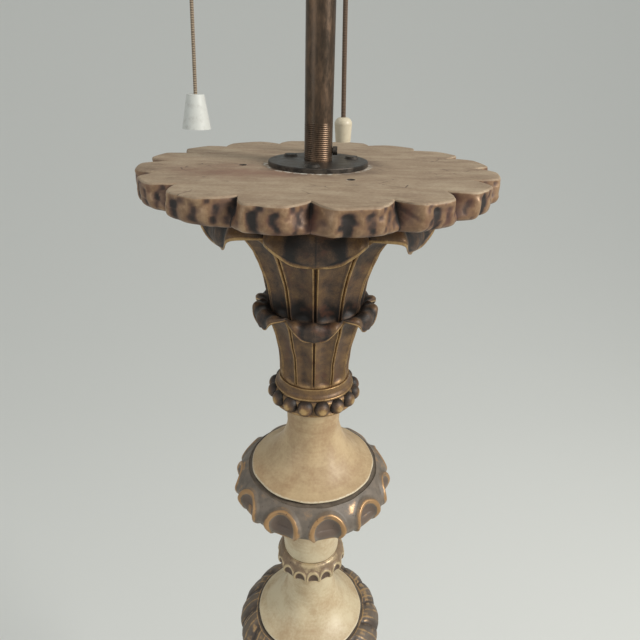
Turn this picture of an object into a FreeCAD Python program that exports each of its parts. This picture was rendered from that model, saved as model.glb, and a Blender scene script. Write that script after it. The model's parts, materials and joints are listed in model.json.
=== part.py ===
import FreeCAD, Part
import math
import os

# Candlestick floor lamp: a carved and turned wooden column, painted cream and gilt, with a
# scalloped drip disc, a steel stem tube and a twin lampholder head with two pull-cord switches.
# Millimetres, +Z up, floor at z = 0, column axis on Z. -Y is the front of the lamp.

V = FreeCAD.Vector
AXIS = V(0, 0, 1)

# ---------------------------------------------------------------- driving dimensions
# Heights of the stacked column pieces, from the floor up
FOOT_H = 32.0
BOARD_H = 15.0
BASE_RING_H = 36.0
BASE_TRUMPET_H = 105.0
RING_3_H = 45.0
TRUMPET_3_H = 77.0
BEAD_COLLAR_H = 25.0
LEAF_CUP_H = 87.0
SHAFT_H = 250.0
NECK_RING_H = 20.0
NECK_2_H = 60.0
RING_2_H = 46.0
TRUMPET_2_H = 76.0
NECK_1_H = 63.0
RING_1_H = 46.0
TRUMPET_1_H = 77.0
CAPITAL_LOW_H = 87.0
CAPITAL_UP_H = 84.0
DISC_H = 19.0

# Column joinery: every piece has a tenon below and a socket above, threaded on one hollow rod
ROD_R = 5.0
ROD_BORE_R = 3.5
ROD_CLEAR = 0.5
TENON_R = 12.0
TENON_L = 8.0
FIT = 0.1                 # radial clearance of tenons, dowels and sockets
DEPTH_CLEAR = 0.5         # air at the blind end of a socket

# Outer radii of the column pieces
DISC_R = 140.0
DISC_NOTCH_R = 125.0
DISC_LOBES = 16
DISC_EDGE_ROUND = 5.0
WAIST_R = 41.5
CAPITAL_TOP_R = 56.0
CAPITAL_FOOT_R = 31.0
BEAD_SEAT_R = 34.0
BEAD_RING_R = 37.5
BEAD_R = 7.2
BEAD_COUNT = 16
TRUMPET_NECK_R = 25.0
TRUMPET_1_R = 60.0
TRUMPET_2_R = 57.3
TRUMPET_3_R = 72.0
TRUMPET_STRAIGHT = 24.0   # upright part of a trumpet above its flare
RIM_T = 2.5               # thickness of a trumpet's rim
RING_1_R = 77.0
RING_2_R = 79.0
RING_3_R = 93.0
RING_LEDGE = 4.0          # how far a ring's flat top stands out past the trumpet's rim
NECK_R = 28.6
NECK_RING_R = 35.7
SHAFT_TOP_R = 25.0
SHAFT_BELLY_R = 45.0
BASE_NECK_R = 40.0
BASE_TRUMPET_R = 142.0
BASE_RING_R = 185.0
BOARD_R = 172.0
SCOOPS_1 = 11
LOBES_2 = 16
SCOOPS_3 = 12
SCOOPS_BASE = 24
NECK_SCOOPS = 16

# Leaves
LEAF_COUNT = 6
LEAF_T = 6.0

# Feet, ballast and base fixings
FOOT_R = 24.0
FOOT_COUNT = 3
FOOT_CIRCLE_R = 145.0
DOWEL_R = 5.0
DOWEL_L = 22.0
BALLAST_R = 104.0
BALLAST_H = 22.0
BALLAST_AIR = 1.0
NUT_FLATS = 17.0
NUT_H = 6.0
WASHER_R = 12.0
WASHER_T = 2.0
BUSH_R = 7.5
BUSH_GRIP = 5.0
BUSH_LIP = 7.0

# Flange and stem tube
TUBE_R = 11.0
TUBE_BORE_R = 9.5
TUBE_TOP = 328.0          # height of the tube's end above the disc
FLANGE_R = 39.5
FLANGE_T = 3.7
FLANGE_SCREW_CIRCLE_R = 29.0
FLANGE_SCREW_PHASE = -98.0
FLANGE_SCREWS = 3
SCREW_HEAD_R = 6.0
SCREW_HEAD_T = 1.8
SCREW_R = 2.2
SCREW_L = 13.0
LOCK_SCREW_R = 2.0
LOCK_HEAD_R = 3.4
LOCK_HEAD_L = 3.6
LOCK_SCREW_Z = 7.5        # height above the flange
PIN_R = 1.0
PIN_L = 30.0
PIN_SINK = 1.2
PIN_PLACES = ((-58.6, -9.0), (23.7, -58.7), (20.0, 57.0))

# Head: hub, arms and the two lampholders
HUB_R = 17.0
HUB_H = 40.0
HUB_SOCKET = 14.0         # depth that the tube enters the hub
ARM_R = 5.0
ARM_BORE_R = 3.6
ARM_BEND = 17.0
ARM_HEIGHT = 16.0         # height of the arms above the tube's end
ARM_SOCKET = 7.0          # depth that an arm enters the hub
HOLDER_CIRCLE_R = 70.5    # lampholder axis from the lamp's axis
HOLDER_AZIMUTH = 46.3
CASE_DROP = 30.0          # case bottom above the arm's axis
CASE_R = 20.0
CASE_SPOUT_R = 9.0
CASE_H = 30.0
CASE_WALL = 1.8
SPOUT_L = 8.0
SPOUT_MOUTH_R = 5.6
ARM_NUT_FLATS = 14.0
ARM_NUT_H = 4.0
COVER_T = 2.4
CORE_R = 13.0
CORE_H = 12.0
HOLDER_R = 19.5
HOLDER_BORE_R = 13.4      # screw-in lamp thread, 27 mm
HOLDER_H = 46.0
SHADE_RING_R = 26.0
SHADE_RING_H = 8.0
SHADE_RING_Z = 24.0       # above the holder's seat
FINIAL_R = 8.0
FINIAL_H = 30.0

# Pull switches
TRAVEL = 8.0              # cord travel
OUTLET_REACH = 31.0       # cord outlet from the lampholder's axis, towards -X
PIVOT_REACH = 10.0        # lever pivot from the lampholder's axis, towards -X
LEVER_Z = 14.0            # lever pivot above the case bottom
LEVER_T = 2.0
LEVER_W = 7.0
LEVER_TAIL = 7.0
LEVER_EYE_R = 5.2
LEVER_PIN_R = 1.5
RUN_CLEAR = 0.05          # running fit of the lever on its pin
STOP_R = 3.3              # knot above the lever
STOP_GAP = 0.35
CORD_R = {"left": 1.2, "right": 2.0}
CORD_AIR = 0.6            # round the cord in the lever's eye and the spout
PULL_FLOOR = 3.0          # thickness of a pull's top above its knot
KNOT_R = {"left": 3.2, "right": 3.6}
CONE_TOP_R = 6.0
CONE_FOOT_R = 9.7
CONE_H = 22.5
CONE_WALL = 1.5
ACORN_R = 7.5
ACORN_FOOT_R = 6.5
ACORN_TOP_R = 3.0
ACORN_H = 20.5
ACORN_WALL = 1.5
# Route of each cord: x, y and height above the disc. The first point is set by the lever.
CORD_POINTS = {
    "left": ((-80.0, -51.0, 262.0), (-80.9, -51.0, 140.0), (-83.0, -51.0, 54.1)),
    "right": ((17.9, 51.0, 262.0), (18.6, 51.0, 140.0), (20.6, 51.0, 32.0)),
}

# ---------------------------------------------------------------- derived heights
Z_BOARD = FOOT_H
Z_BASE_RING = Z_BOARD + BOARD_H
Z_BASE_TRUMPET = Z_BASE_RING + BASE_RING_H
Z_RING_3 = Z_BASE_TRUMPET + BASE_TRUMPET_H
Z_TRUMPET_3 = Z_RING_3 + RING_3_H
Z_COLLAR_2 = Z_TRUMPET_3 + TRUMPET_3_H
Z_LEAF_CUP = Z_COLLAR_2 + BEAD_COLLAR_H
Z_SHAFT = Z_LEAF_CUP + LEAF_CUP_H
Z_NECK_RING_2 = Z_SHAFT + SHAFT_H
Z_NECK_2 = Z_NECK_RING_2 + NECK_RING_H
Z_RING_2 = Z_NECK_2 + NECK_2_H
Z_TRUMPET_2 = Z_RING_2 + RING_2_H
Z_NECK_RING_1 = Z_TRUMPET_2 + TRUMPET_2_H
Z_NECK_1 = Z_NECK_RING_1 + NECK_RING_H
Z_RING_1 = Z_NECK_1 + NECK_1_H
Z_TRUMPET_1 = Z_RING_1 + RING_1_H
Z_COLLAR_1 = Z_TRUMPET_1 + TRUMPET_1_H
Z_CAPITAL_LOW = Z_COLLAR_1 + BEAD_COLLAR_H
Z_CAPITAL_UP = Z_CAPITAL_LOW + CAPITAL_LOW_H
Z_DISC = Z_CAPITAL_UP + CAPITAL_UP_H
Z_TOP = Z_DISC + DISC_H             # the disc's upper face

BORE_R = ROD_R + ROD_CLEAR
NUT_R = NUT_FLATS / math.sqrt(3.0)  # across the corners
NUT_WELL_R = max(NUT_R, WASHER_R) + 0.8


# ---------------------------------------------------------------- helpers
def save(node, shape):
    os.makedirs("parts", exist_ok=True)
    shape.exportStep("parts/" + node + ".step")


def rod(radius, height, base, direction=AXIS):
    return Part.makeCylinder(radius, height, base, direction)


def polar(radius, azimuth, z=0.0):
    angle = math.radians(azimuth)
    return V(radius * math.cos(angle), radius * math.sin(angle), z)


def turned_copy(shape, azimuth):
    copy = shape.copy()
    copy.rotate(V(0, 0, 0), AXIS, azimuth)
    return copy


def ring_of(shape, count, phase=0.0):
    return [turned_copy(shape, phase + i * 360.0 / count) for i in range(count)]


def hex_nut(flats, height, hole_r, base):
    corners = [polar(flats / math.sqrt(3.0), 60.0 * i) for i in range(7)]
    body = Part.Face(Part.makePolygon(corners)).extrude(V(0, 0, height))
    body = body.cut(rod(hole_r, height, V(0, 0, 0)))
    body.translate(base)
    return body


class Outline:
    """A closed outline in the r-z plane, made of lines and arcs, turned about the axis."""

    def __init__(self, r, z):
        self.first = V(r, 0, z)
        self.last = self.first
        self.edges = []

    def line(self, r, z):
        point = V(r, 0, z)
        if point.distanceToPoint(self.last) > 1e-6:
            self.edges.append(Part.LineSegment(self.last, point).toShape())
            self.last = point
        return self

    def bow(self, r, z, rise):
        """Arc to (r, z); a positive rise bulges to the left of the way there."""
        point = V(r, 0, z)
        chord = point - self.last
        left = V(-chord.z, 0, chord.x).normalize()
        middle = (self.last + point) * 0.5 + left * rise
        self.edges.append(Part.Arc(self.last, middle, point).toShape())
        self.last = point
        return self

    def cove(self, r, z):
        """Arc to (r, z) that leaves the last point straight up or down."""
        dr = r - self.last.x
        dz = z - self.last.z
        radius = (dr * dr + dz * dz) / (2.0 * dr)
        turn = math.atan2(abs(dz), radius - dr) / 2.0
        middle = V(self.last.x + radius * (1.0 - math.cos(turn)), 0,
                   self.last.z + math.copysign(abs(radius) * math.sin(turn), dz))
        self.edges.append(Part.Arc(self.last, middle, V(r, 0, z)).toShape())
        self.last = V(r, 0, z)
        return self

    def solid(self):
        self.line(self.first.x, self.first.z)
        return Part.Face(Part.Wire(self.edges)).revolve(V(0, 0, 0), AXIS, 360)


def column_piece(body, z_low, z_high, tenon=True, socket=True, bore_r=BORE_R):
    """Give a turned body its lower tenon, upper socket and the bore for the rod."""
    if tenon:
        body = body.fuse(rod(TENON_R, TENON_L, V(0, 0, z_low - TENON_L)))
    if socket:
        depth = TENON_L + DEPTH_CLEAR
        body = body.cut(rod(TENON_R + FIT, depth, V(0, 0, z_high - depth)))
    return body.cut(rod(bore_r, z_high - z_low + 2 * TENON_L, V(0, 0, z_low - TENON_L)))


# ---------------------------------------------------------------- column pieces
def trumpet(z, height, rim_r, neck_r=TRUMPET_NECK_R, straight=TRUMPET_STRAIGHT):
    """A turned neck that flares down to a thin rim."""
    top = z + height
    outline = Outline(0, top).line(neck_r + 1.5, top).line(neck_r, top - 3.0)
    outline.line(neck_r, top - straight).cove(rim_r - RIM_T * 0.4, z + RIM_T)
    outline.line(rim_r, z + RIM_T * 0.5).line(rim_r, z).line(0, z)
    return outline.solid()


def ring_body(z, height, top_r, out_r, foot_r):
    """A carved ring before its carving: flat ledge, rounded slope, nose and hollow underside."""
    top = z + height
    nose = z + height * 0.56
    outline = Outline(0, top).line(top_r + RING_LEDGE * 0.5, top)
    outline.line(top_r + RING_LEDGE, top - 1.5)
    outline.bow(out_r, nose, (out_r - top_r) * 0.16)
    outline.bow(out_r - 6.0, z + height * 0.28, 3.0)
    outline.bow(foot_r, z, -height * 0.12).line(0, z)
    return outline.solid()


def scooped(body, z, height, out_r, count, phase, size):
    """Thumb scoops cut into the ring's outer edge."""
    scoop = Part.makeSphere(size, V(out_r + size * 0.42, 0, z + height * 0.36))
    return body.cut(ring_of(scoop, count, phase))


def bead_collar(z):
    top = z + BEAD_COLLAR_H
    low = z + BEAD_COLLAR_H * 0.36
    outline = Outline(0, top).line(CAPITAL_FOOT_R + 1.5, top)
    outline.bow(BEAD_SEAT_R, top - 4.0, 1.2)
    outline.line(BEAD_RING_R - 1.5, low + BEAD_R * 0.8).line(BEAD_RING_R, low)
    outline.bow(BEAD_RING_R - 3.0, z, 1.0).line(0, z)
    bead = Part.makeSphere(BEAD_R, V(BEAD_RING_R, 0, low))
    bead = bead.cut(Part.makeBox(4 * BEAD_R, 4 * BEAD_R, BEAD_R, V(BEAD_RING_R - 2 * BEAD_R, -2 * BEAD_R,
                                                                  low - BEAD_R - BEAD_R * 0.86)))
    return outline.solid().fuse(ring_of(bead, BEAD_COUNT, -90.0 + 180.0 / BEAD_COUNT))


def leaf_section(r, z, tilt, width, sag, thick):
    """One cross-section of a leaf: a curved band square to the leaf's spine.

    r, z is the middle of the outer face. tilt turns the outer normal from outward (0) down."""
    angle = math.radians(tilt)
    normal = V(math.cos(angle), 0, -math.sin(angle))
    side = V(0, 1, 0)
    middle = V(r, 0, z)
    outer = [middle - normal * sag + side * (s * width / 2.0) for s in (-1, 1)]
    inner = [point - normal * (thick * 0.6) for point in outer]
    low = middle - normal * thick
    edges = [Part.Arc(outer[0], middle, outer[1]).toShape(),
             Part.LineSegment(outer[1], inner[1]).toShape(),
             Part.Arc(inner[1], low, inner[0]).toShape(),
             Part.LineSegment(inner[0], outer[0]).toShape()]
    return Part.Wire(edges)


def leaf(stations):
    return Part.makeLoft([leaf_section(*station) for station in stations], True, False)


def leaf_tier(z, height, foot_r, waist_r, top_r, stations, phase):
    """A carved ring of leaves round a turned core."""
    top = z + height
    outline = Outline(0, z).line(foot_r, z).bow(waist_r, z + height * 0.5, 1.0)
    outline.bow(top_r, top, -2.0).line(0, top)
    leaves = ring_of(leaf(stations), LEAF_COUNT, phase)
    return outline.solid().fuse(leaves)


def capital_upper():
    z = Z_CAPITAL_UP
    stations = (
        (44.0, z + 1.0, 0.0, 42.0, 4.5, LEAF_T),
        (47.0, z + 18.0, 14.0, 45.0, 5.0, LEAF_T),
        (56.0, z + 38.0, 32.0, 50.0, 5.5, LEAF_T),
        (70.0, z + 54.0, 60.0, 60.0, 7.0, LEAF_T + 3.0),
        (86.0, z + 58.0, 100.0, 56.0, 8.0, LEAF_T + 5.0),
        (90.0, z + 49.0, 150.0, 28.0, 4.0, LEAF_T),
        (85.5, z + 46.5, 175.0, 6.0, 0.6, 2.5),
    )
    body = leaf_tier(z, CAPITAL_UP_H, WAIST_R, WAIST_R + 3.0, CAPITAL_TOP_R, stations, -90.0)
    return column_piece(body, z, Z_DISC).cut(pin_holes())


def curl_stations(z, height, foot_r, waist_r, lip_r, width, thick):
    """Stations of a leaf that climbs the core and curls over: its abaxial face, base to tip."""
    reach = lip_r - waist_r
    lip_z = z + height * 0.83
    return (
        (foot_r + 2.0, z + 1.0, 0.0, width * 0.72, 4.0, thick),
        (foot_r + 3.5, z + height * 0.28, 5.0, width * 0.80, 4.2, thick),
        (waist_r, z + height * 0.55, 14.0, width * 0.92, 4.6, thick),
        (waist_r + reach * 0.25, z + height * 0.74, 45.0, width, 5.0, thick + 1.0),
        (waist_r + reach * 0.62, lip_z, 100.0, width * 0.94, 5.0, thick + 2.0),
        (waist_r + reach * 0.70, lip_z - 8.0, 150.0, width * 0.52, 2.5, thick),
        (waist_r + reach * 0.52, lip_z - 13.0, 175.0, 4.0, 0.4, 2.0),
    )


def capital_lower():
    stations = curl_stations(Z_CAPITAL_LOW, CAPITAL_LOW_H, CAPITAL_FOOT_R, 37.0, 60.0, 41.0, 5.0)
    return leaf_tier(Z_CAPITAL_LOW, CAPITAL_LOW_H, CAPITAL_FOOT_R, 35.0, WAIST_R, stations, -90.0)


def leaf_cup():
    stations = curl_stations(Z_LEAF_CUP, LEAF_CUP_H, CAPITAL_FOOT_R, 37.0, 60.0, 41.0, 5.0)
    return leaf_tier(Z_LEAF_CUP, LEAF_CUP_H, CAPITAL_FOOT_R, 35.0, WAIST_R, stations, -90.0)


def drip_disc():
    """Lobed outline cut from a board, with rounded edges."""
    step = 360.0 / DISC_LOBES
    edges = []
    for i in range(DISC_LOBES):
        start = -91.0 + i * step
        edges.append(Part.Arc(polar(DISC_NOTCH_R, start, Z_DISC), polar(DISC_R, start + step / 2, Z_DISC),
                              polar(DISC_NOTCH_R, start + step, Z_DISC)).toShape())
    board = Part.Face(Part.Wire(edges)).extrude(V(0, 0, DISC_H))
    edge = DISC_EDGE_ROUND
    limit = DISC_R + 0.5                # clear of the lobes' crowns
    rounder = Outline(0, Z_DISC).line(limit - edge, Z_DISC).bow(limit, Z_DISC + edge, -edge * 0.29)
    rounder.line(limit, Z_TOP - edge * 0.6).bow(limit - edge * 0.6, Z_TOP, -edge * 0.17)
    board = board.common(rounder.line(0, Z_TOP).solid())
    board = board.cut(rod(NUT_WELL_R, WASHER_T + NUT_H + DEPTH_CLEAR * 2,
                          V(0, 0, Z_TOP - WASHER_T - NUT_H - DEPTH_CLEAR * 2)))
    screws = [rod(SCREW_R, SCREW_L, polar(FLANGE_SCREW_CIRCLE_R, flange_angle(i), Z_TOP - SCREW_L + FLANGE_T))
              for i in range(FLANGE_SCREWS)]
    return column_piece(board, Z_DISC, Z_TOP, socket=False).cut(screws + pin_holes())


def flange_angle(i):
    return FLANGE_SCREW_PHASE + i * 360.0 / FLANGE_SCREWS


def pin_holes():
    """Holes for the pins that fix the disc to the leaf capital."""
    return [rod(PIN_R, PIN_L + PIN_SINK, V(x, y, Z_TOP - PIN_L - PIN_SINK)) for x, y in PIN_PLACES]


def neck_ring(z):
    top = z + NECK_RING_H
    outline = Outline(0, top).line(NECK_R + 1.2, top).bow(NECK_RING_R, z + NECK_RING_H * 0.35, 1.5)
    outline.bow(NECK_RING_R - 2.0, z, 1.0).line(0, z)
    scoop = Part.makeSphere(5.6, V(NECK_RING_R + 3.2, 0, z + NECK_RING_H * 0.24))
    return outline.solid().cut(ring_of(scoop, NECK_SCOOPS, -84.8))


def lobed_ring(z, height, top_r, out_r, foot_r, count, phase):
    """A ring whose slope is gadrooned: grooves between long rounded lobes."""
    body = ring_body(z, height, top_r, out_r, foot_r)
    start = V(top_r + RING_LEDGE - 1.0, 0, z + height + 1.0)
    end = V(out_r + 3.0, 0, z + height * 0.42)
    along = end - start
    groove = Part.makeCone(1.2, 3.2, along.Length, start, along)
    return body.cut(ring_of(groove, count, phase))


def shaft():
    top = Z_SHAFT + SHAFT_H
    points = [V(SHAFT_TOP_R, 0, top - 12.0), V(SHAFT_TOP_R + 6.0, 0, Z_SHAFT + SHAFT_H * 0.72),
              V(SHAFT_BELLY_R, 0, Z_SHAFT + SHAFT_H * 0.34), V(SHAFT_BELLY_R - 6.0, 0, Z_SHAFT + SHAFT_H * 0.12),
              V(SHAFT_BELLY_R - 13.0, 0, Z_SHAFT + 8.0)]
    swell = Part.BSplineCurve()
    swell.interpolate(points)
    outline = Outline(0, top).line(NECK_R, top).line(NECK_R, top - 5.0).bow(SHAFT_TOP_R, top - 12.0, 1.5)
    outline.edges.append(swell.toShape())
    outline.last = points[-1]
    outline.line(SHAFT_BELLY_R - 11.0, Z_SHAFT).line(0, Z_SHAFT)
    return outline.solid()


def base_trumpet():
    body = trumpet(Z_BASE_TRUMPET, BASE_TRUMPET_H, BASE_TRUMPET_R, BASE_NECK_R, 18.0)
    return column_piece(body, Z_BASE_TRUMPET, Z_RING_3)


def base_ring():
    outline = Outline(0, Z_BASE_TRUMPET).line(BASE_TRUMPET_R + RING_LEDGE, Z_BASE_TRUMPET)
    outline.bow(BASE_RING_R, Z_BASE_RING + BASE_RING_H * 0.45, 6.0)
    outline.bow(BOARD_R, Z_BASE_RING, 4.0).line(0, Z_BASE_RING)
    body = scooped(outline.solid(), Z_BASE_RING, BASE_RING_H, BASE_RING_R, SCOOPS_BASE, 0.0, 17.0)
    body = column_piece(body, Z_BASE_RING, Z_BASE_TRUMPET, tenon=False)
    return body.cut(rod(BALLAST_R + BALLAST_AIR, BALLAST_H + BALLAST_AIR, V(0, 0, Z_BASE_RING)))


def base_board():
    body = rod(BOARD_R, BOARD_H, V(0, 0, Z_BOARD))
    body = body.cut(rod(BORE_R, BOARD_H, V(0, 0, Z_BOARD)))
    body = body.cut(rod(NUT_WELL_R, WASHER_T + NUT_H, V(0, 0, Z_BOARD)))
    holes = [rod(DOWEL_R + FIT, DOWEL_L / 2 + DEPTH_CLEAR, polar(FOOT_CIRCLE_R, foot_angle(i), Z_BOARD))
             for i in range(FOOT_COUNT)]
    return body.cut(holes)


def foot_angle(i):
    return -90.0 + i * 360.0 / FOOT_COUNT


def bun_foot(i):
    outline = Outline(0, FOOT_H).line(FOOT_R * 0.62, FOOT_H).line(FOOT_R * 0.62, FOOT_H - 4.0)
    outline.bow(FOOT_R * 0.72, 0.0, FOOT_R * 0.42).line(0, 0)
    body = outline.solid()
    body = body.cut(rod(DOWEL_R + FIT, DOWEL_L / 2 + DEPTH_CLEAR, V(0, 0, FOOT_H - DOWEL_L / 2 - DEPTH_CLEAR)))
    body.translate(polar(FOOT_CIRCLE_R, foot_angle(i)))
    return body


# ---------------------------------------------------------------- column hardware
ROD_LOW = Z_BOARD - 8.0
ROD_HIGH = Z_TOP - DEPTH_CLEAR


def draw_rod():
    body = rod(ROD_R, ROD_HIGH - ROD_LOW, V(0, 0, ROD_LOW))
    return body.cut(rod(ROD_BORE_R, ROD_HIGH - ROD_LOW, V(0, 0, ROD_LOW)))


def washer(z):
    return rod(WASHER_R, WASHER_T, V(0, 0, z)).cut(rod(ROD_R + 0.3, WASHER_T, V(0, 0, z)))


def cable_bush():
    z = ROD_LOW - BUSH_LIP
    body = rod(BUSH_R, BUSH_LIP + BUSH_GRIP, V(0, 0, z))
    body = body.cut(rod(ROD_R + FIT, BUSH_GRIP, V(0, 0, ROD_LOW)))
    return body.cut(rod(ROD_BORE_R, BUSH_LIP, V(0, 0, z)))


def flange_plate():
    edge = 0.8
    outline = Outline(0, Z_TOP).line(FLANGE_R, Z_TOP).line(FLANGE_R, Z_TOP + FLANGE_T - edge)
    outline.bow(FLANGE_R - edge, Z_TOP + FLANGE_T, -edge * 0.29).line(0, Z_TOP + FLANGE_T)
    holes = [rod(SCREW_R + 0.2, FLANGE_T, polar(FLANGE_SCREW_CIRCLE_R, flange_angle(i), Z_TOP))
             for i in range(FLANGE_SCREWS)]
    return outline.solid().cut(rod(TUBE_R + FIT / 2, FLANGE_T, V(0, 0, Z_TOP))).cut(holes)


def flange_screw(i):
    top = Z_TOP + FLANGE_T
    place = polar(FLANGE_SCREW_CIRCLE_R, flange_angle(i), top)
    head = Part.makeCone(SCREW_HEAD_R, SCREW_HEAD_R - 1.4, SCREW_HEAD_T, place)
    slot = Part.makeBox(2.4 * SCREW_HEAD_R, 1.2, 1.0, place + V(-1.2 * SCREW_HEAD_R, -0.6, SCREW_HEAD_T - 0.8))
    shank = rod(SCREW_R - FIT, SCREW_L - 0.5, place - V(0, 0, SCREW_L - 0.5))
    return head.cut(slot).fuse(shank)


def stem_tube():
    length = TUBE_TOP
    body = rod(TUBE_R, length, V(0, 0, Z_TOP)).cut(rod(TUBE_BORE_R, length, V(0, 0, Z_TOP)))
    hole = rod(LOCK_SCREW_R + FIT, TUBE_R * 2, V(0, 0, Z_TOP + FLANGE_T + LOCK_SCREW_Z), V(1, 0, 0))
    return body.cut(hole)


def tube_lock_screw():
    z = Z_TOP + FLANGE_T + LOCK_SCREW_Z
    shank = rod(LOCK_SCREW_R, 3.5, V(TUBE_R - 3.0, 0, z), V(1, 0, 0))
    head = rod(LOCK_HEAD_R, LOCK_HEAD_L, V(TUBE_R + 0.3, 0, z), V(1, 0, 0))
    slot = Part.makeBox(1.0, 2.4 * LOCK_HEAD_R, 1.0, V(TUBE_R + 0.3 + LOCK_HEAD_L - 0.9, -1.2 * LOCK_HEAD_R, z - 0.5))
    return head.cut(slot).fuse(shank)


# ---------------------------------------------------------------- head
Z_TUBE_TOP = Z_TOP + TUBE_TOP
Z_ARM = Z_TUBE_TOP + ARM_HEIGHT
Z_HUB = Z_TUBE_TOP - HUB_SOCKET
Z_CASE = Z_ARM + CASE_DROP
Z_COVER = Z_CASE + CASE_H
Z_HOLDER = Z_COVER + COVER_T
SIDES = {"left": HOLDER_AZIMUTH + 180.0, "right": HOLDER_AZIMUTH}
LEVER_L = OUTLET_REACH - PIVOT_REACH
LEVER_SWING = 2.0 * math.degrees(math.asin(TRAVEL / 2.0 / LEVER_L))


def hub():
    top = Z_HUB + HUB_H
    outline = Outline(0, Z_HUB).line(TUBE_R + 3.0, Z_HUB).bow(HUB_R, Z_HUB + HUB_H * 0.45, -2.0)
    outline.line(HUB_R, top - 8.0).bow(HUB_R - 7.0, top, -2.5).line(0, top)
    body = outline.solid()
    body = body.cut(rod(TUBE_R + FIT / 2, HUB_SOCKET, V(0, 0, Z_HUB)))
    body = body.cut(rod(TUBE_BORE_R, ARM_HEIGHT + ARM_BORE_R, V(0, 0, Z_TUBE_TOP)))
    body = body.cut(rod(FINIAL_R * 0.5 + FIT, 8.0, V(0, 0, top - 8.0)))
    for azimuth in SIDES.values():
        body = body.cut(rod(ARM_R + FIT / 2, HUB_R * 2, polar(HUB_R - ARM_SOCKET, azimuth, Z_ARM),
                            polar(1.0, azimuth)))
    return body


def finial():
    base = Z_HUB + HUB_H
    outline = Outline(0, base - 7.0).line(FINIAL_R * 0.5, base - 7.0).line(FINIAL_R * 0.5, base)
    outline.line(FINIAL_R, base).line(FINIAL_R, base + 3.0).bow(FINIAL_R * 0.45, base + 8.0, 1.0)
    outline.bow(FINIAL_R * 0.15, base + FINIAL_H, -FINIAL_H * 0.18).line(0, base + FINIAL_H)
    return outline.solid()


def arm(side):
    """Bent tube from the hub out and up into the bottom of the switch case."""
    start = HUB_R - ARM_SOCKET + 0.3
    corner = HOLDER_CIRCLE_R - ARM_BEND
    slant = ARM_BEND * (1.0 - math.sqrt(0.5))
    up = Z_CASE + CASE_WALL + 1.5
    path = Part.Wire([
        Part.LineSegment(V(start, 0, Z_ARM), V(corner, 0, Z_ARM)).toShape(),
        Part.Arc(V(corner, 0, Z_ARM), V(HOLDER_CIRCLE_R - slant, 0, Z_ARM + slant),
                 V(HOLDER_CIRCLE_R, 0, Z_ARM + ARM_BEND)).toShape(),
        Part.LineSegment(V(HOLDER_CIRCLE_R, 0, Z_ARM + ARM_BEND), V(HOLDER_CIRCLE_R, 0, up)).toShape()])
    tube = [path.makePipeShell([Part.Wire(Part.Circle(V(start, 0, Z_ARM), V(1, 0, 0), r).toShape())], True, False)
            for r in (ARM_R, ARM_BORE_R)]
    return turned_copy(tube[0].cut(tube[1]), SIDES[side])


def holder_place(side, z=0.0):
    return polar(HOLDER_CIRCLE_R, SIDES[side], z)


def arm_nut(side):
    return hex_nut(ARM_NUT_FLATS, ARM_NUT_H, ARM_R + FIT / 2, holder_place(side, Z_CASE - ARM_NUT_H))


def pear(centre_r, spout_r, height, z):
    """Plan of the switch case: a round body drawn out towards the cord outlet."""
    lean = math.asin((centre_r - spout_r) / OUTLET_REACH)
    c, s = math.cos(lean), math.sin(lean)
    a = V(-centre_r * s, centre_r * c, z)
    b = V(-OUTLET_REACH - spout_r * s, spout_r * c, z)
    flip = lambda p: V(p.x, -p.y, p.z)
    edges = [Part.LineSegment(a, b).toShape(),
             Part.Arc(b, V(-OUTLET_REACH - spout_r, 0, z), flip(b)).toShape(),
             Part.LineSegment(flip(b), flip(a)).toShape(),
             Part.Arc(flip(a), V(centre_r, 0, z), a).toShape()]
    return Part.Face(Part.Wire(edges)).extrude(V(0, 0, height))


def outlet_r(side):
    return CORD_R[side] + CORD_AIR


def switch_case(side):
    body = pear(CASE_R, CASE_SPOUT_R, CASE_H, 0)
    body = body.cut(pear(CASE_R - CASE_WALL, CASE_SPOUT_R - CASE_WALL, CASE_H, CASE_WALL))
    ears = [Part.makeBox(LEVER_PIN_R * 4, 2.5, LEVER_Z + LEVER_PIN_R * 2,
                         V(-PIVOT_REACH - LEVER_PIN_R * 2, y, 0)) for y in (LEVER_W / 2 + 0.5, -LEVER_W / 2 - 3.0)]
    body = body.fuse(ears)
    spout = Part.makeCone(SPOUT_MOUTH_R, outlet_r(side) + 1.6, SPOUT_L, V(-OUTLET_REACH, 0, -SPOUT_L))
    body = body.fuse(spout)
    pin_hole = rod(LEVER_PIN_R + FIT / 4, LEVER_W + 8, V(-PIVOT_REACH, -LEVER_W / 2 - 4, LEVER_Z), V(0, 1, 0))
    bore = rod(outlet_r(side), SPOUT_L + CASE_WALL, V(-OUTLET_REACH, 0, -SPOUT_L))
    mouth = Part.makeCone(SPOUT_MOUTH_R - 1.2, outlet_r(side), SPOUT_L * 0.5, V(-OUTLET_REACH, 0, -SPOUT_L))
    stem = rod(ARM_R + FIT / 2, CASE_WALL, V(0, 0, 0))
    body = body.cut([pin_hole, bore, mouth, stem])
    body.translate(holder_place(side, Z_CASE))
    return body


def lever_pin(side):
    place = holder_place(side, Z_CASE + LEVER_Z) + V(-PIVOT_REACH, -LEVER_W / 2 - 3.0, 0)
    return rod(LEVER_PIN_R, LEVER_W + 6.0, place, V(0, 1, 0))


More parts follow.
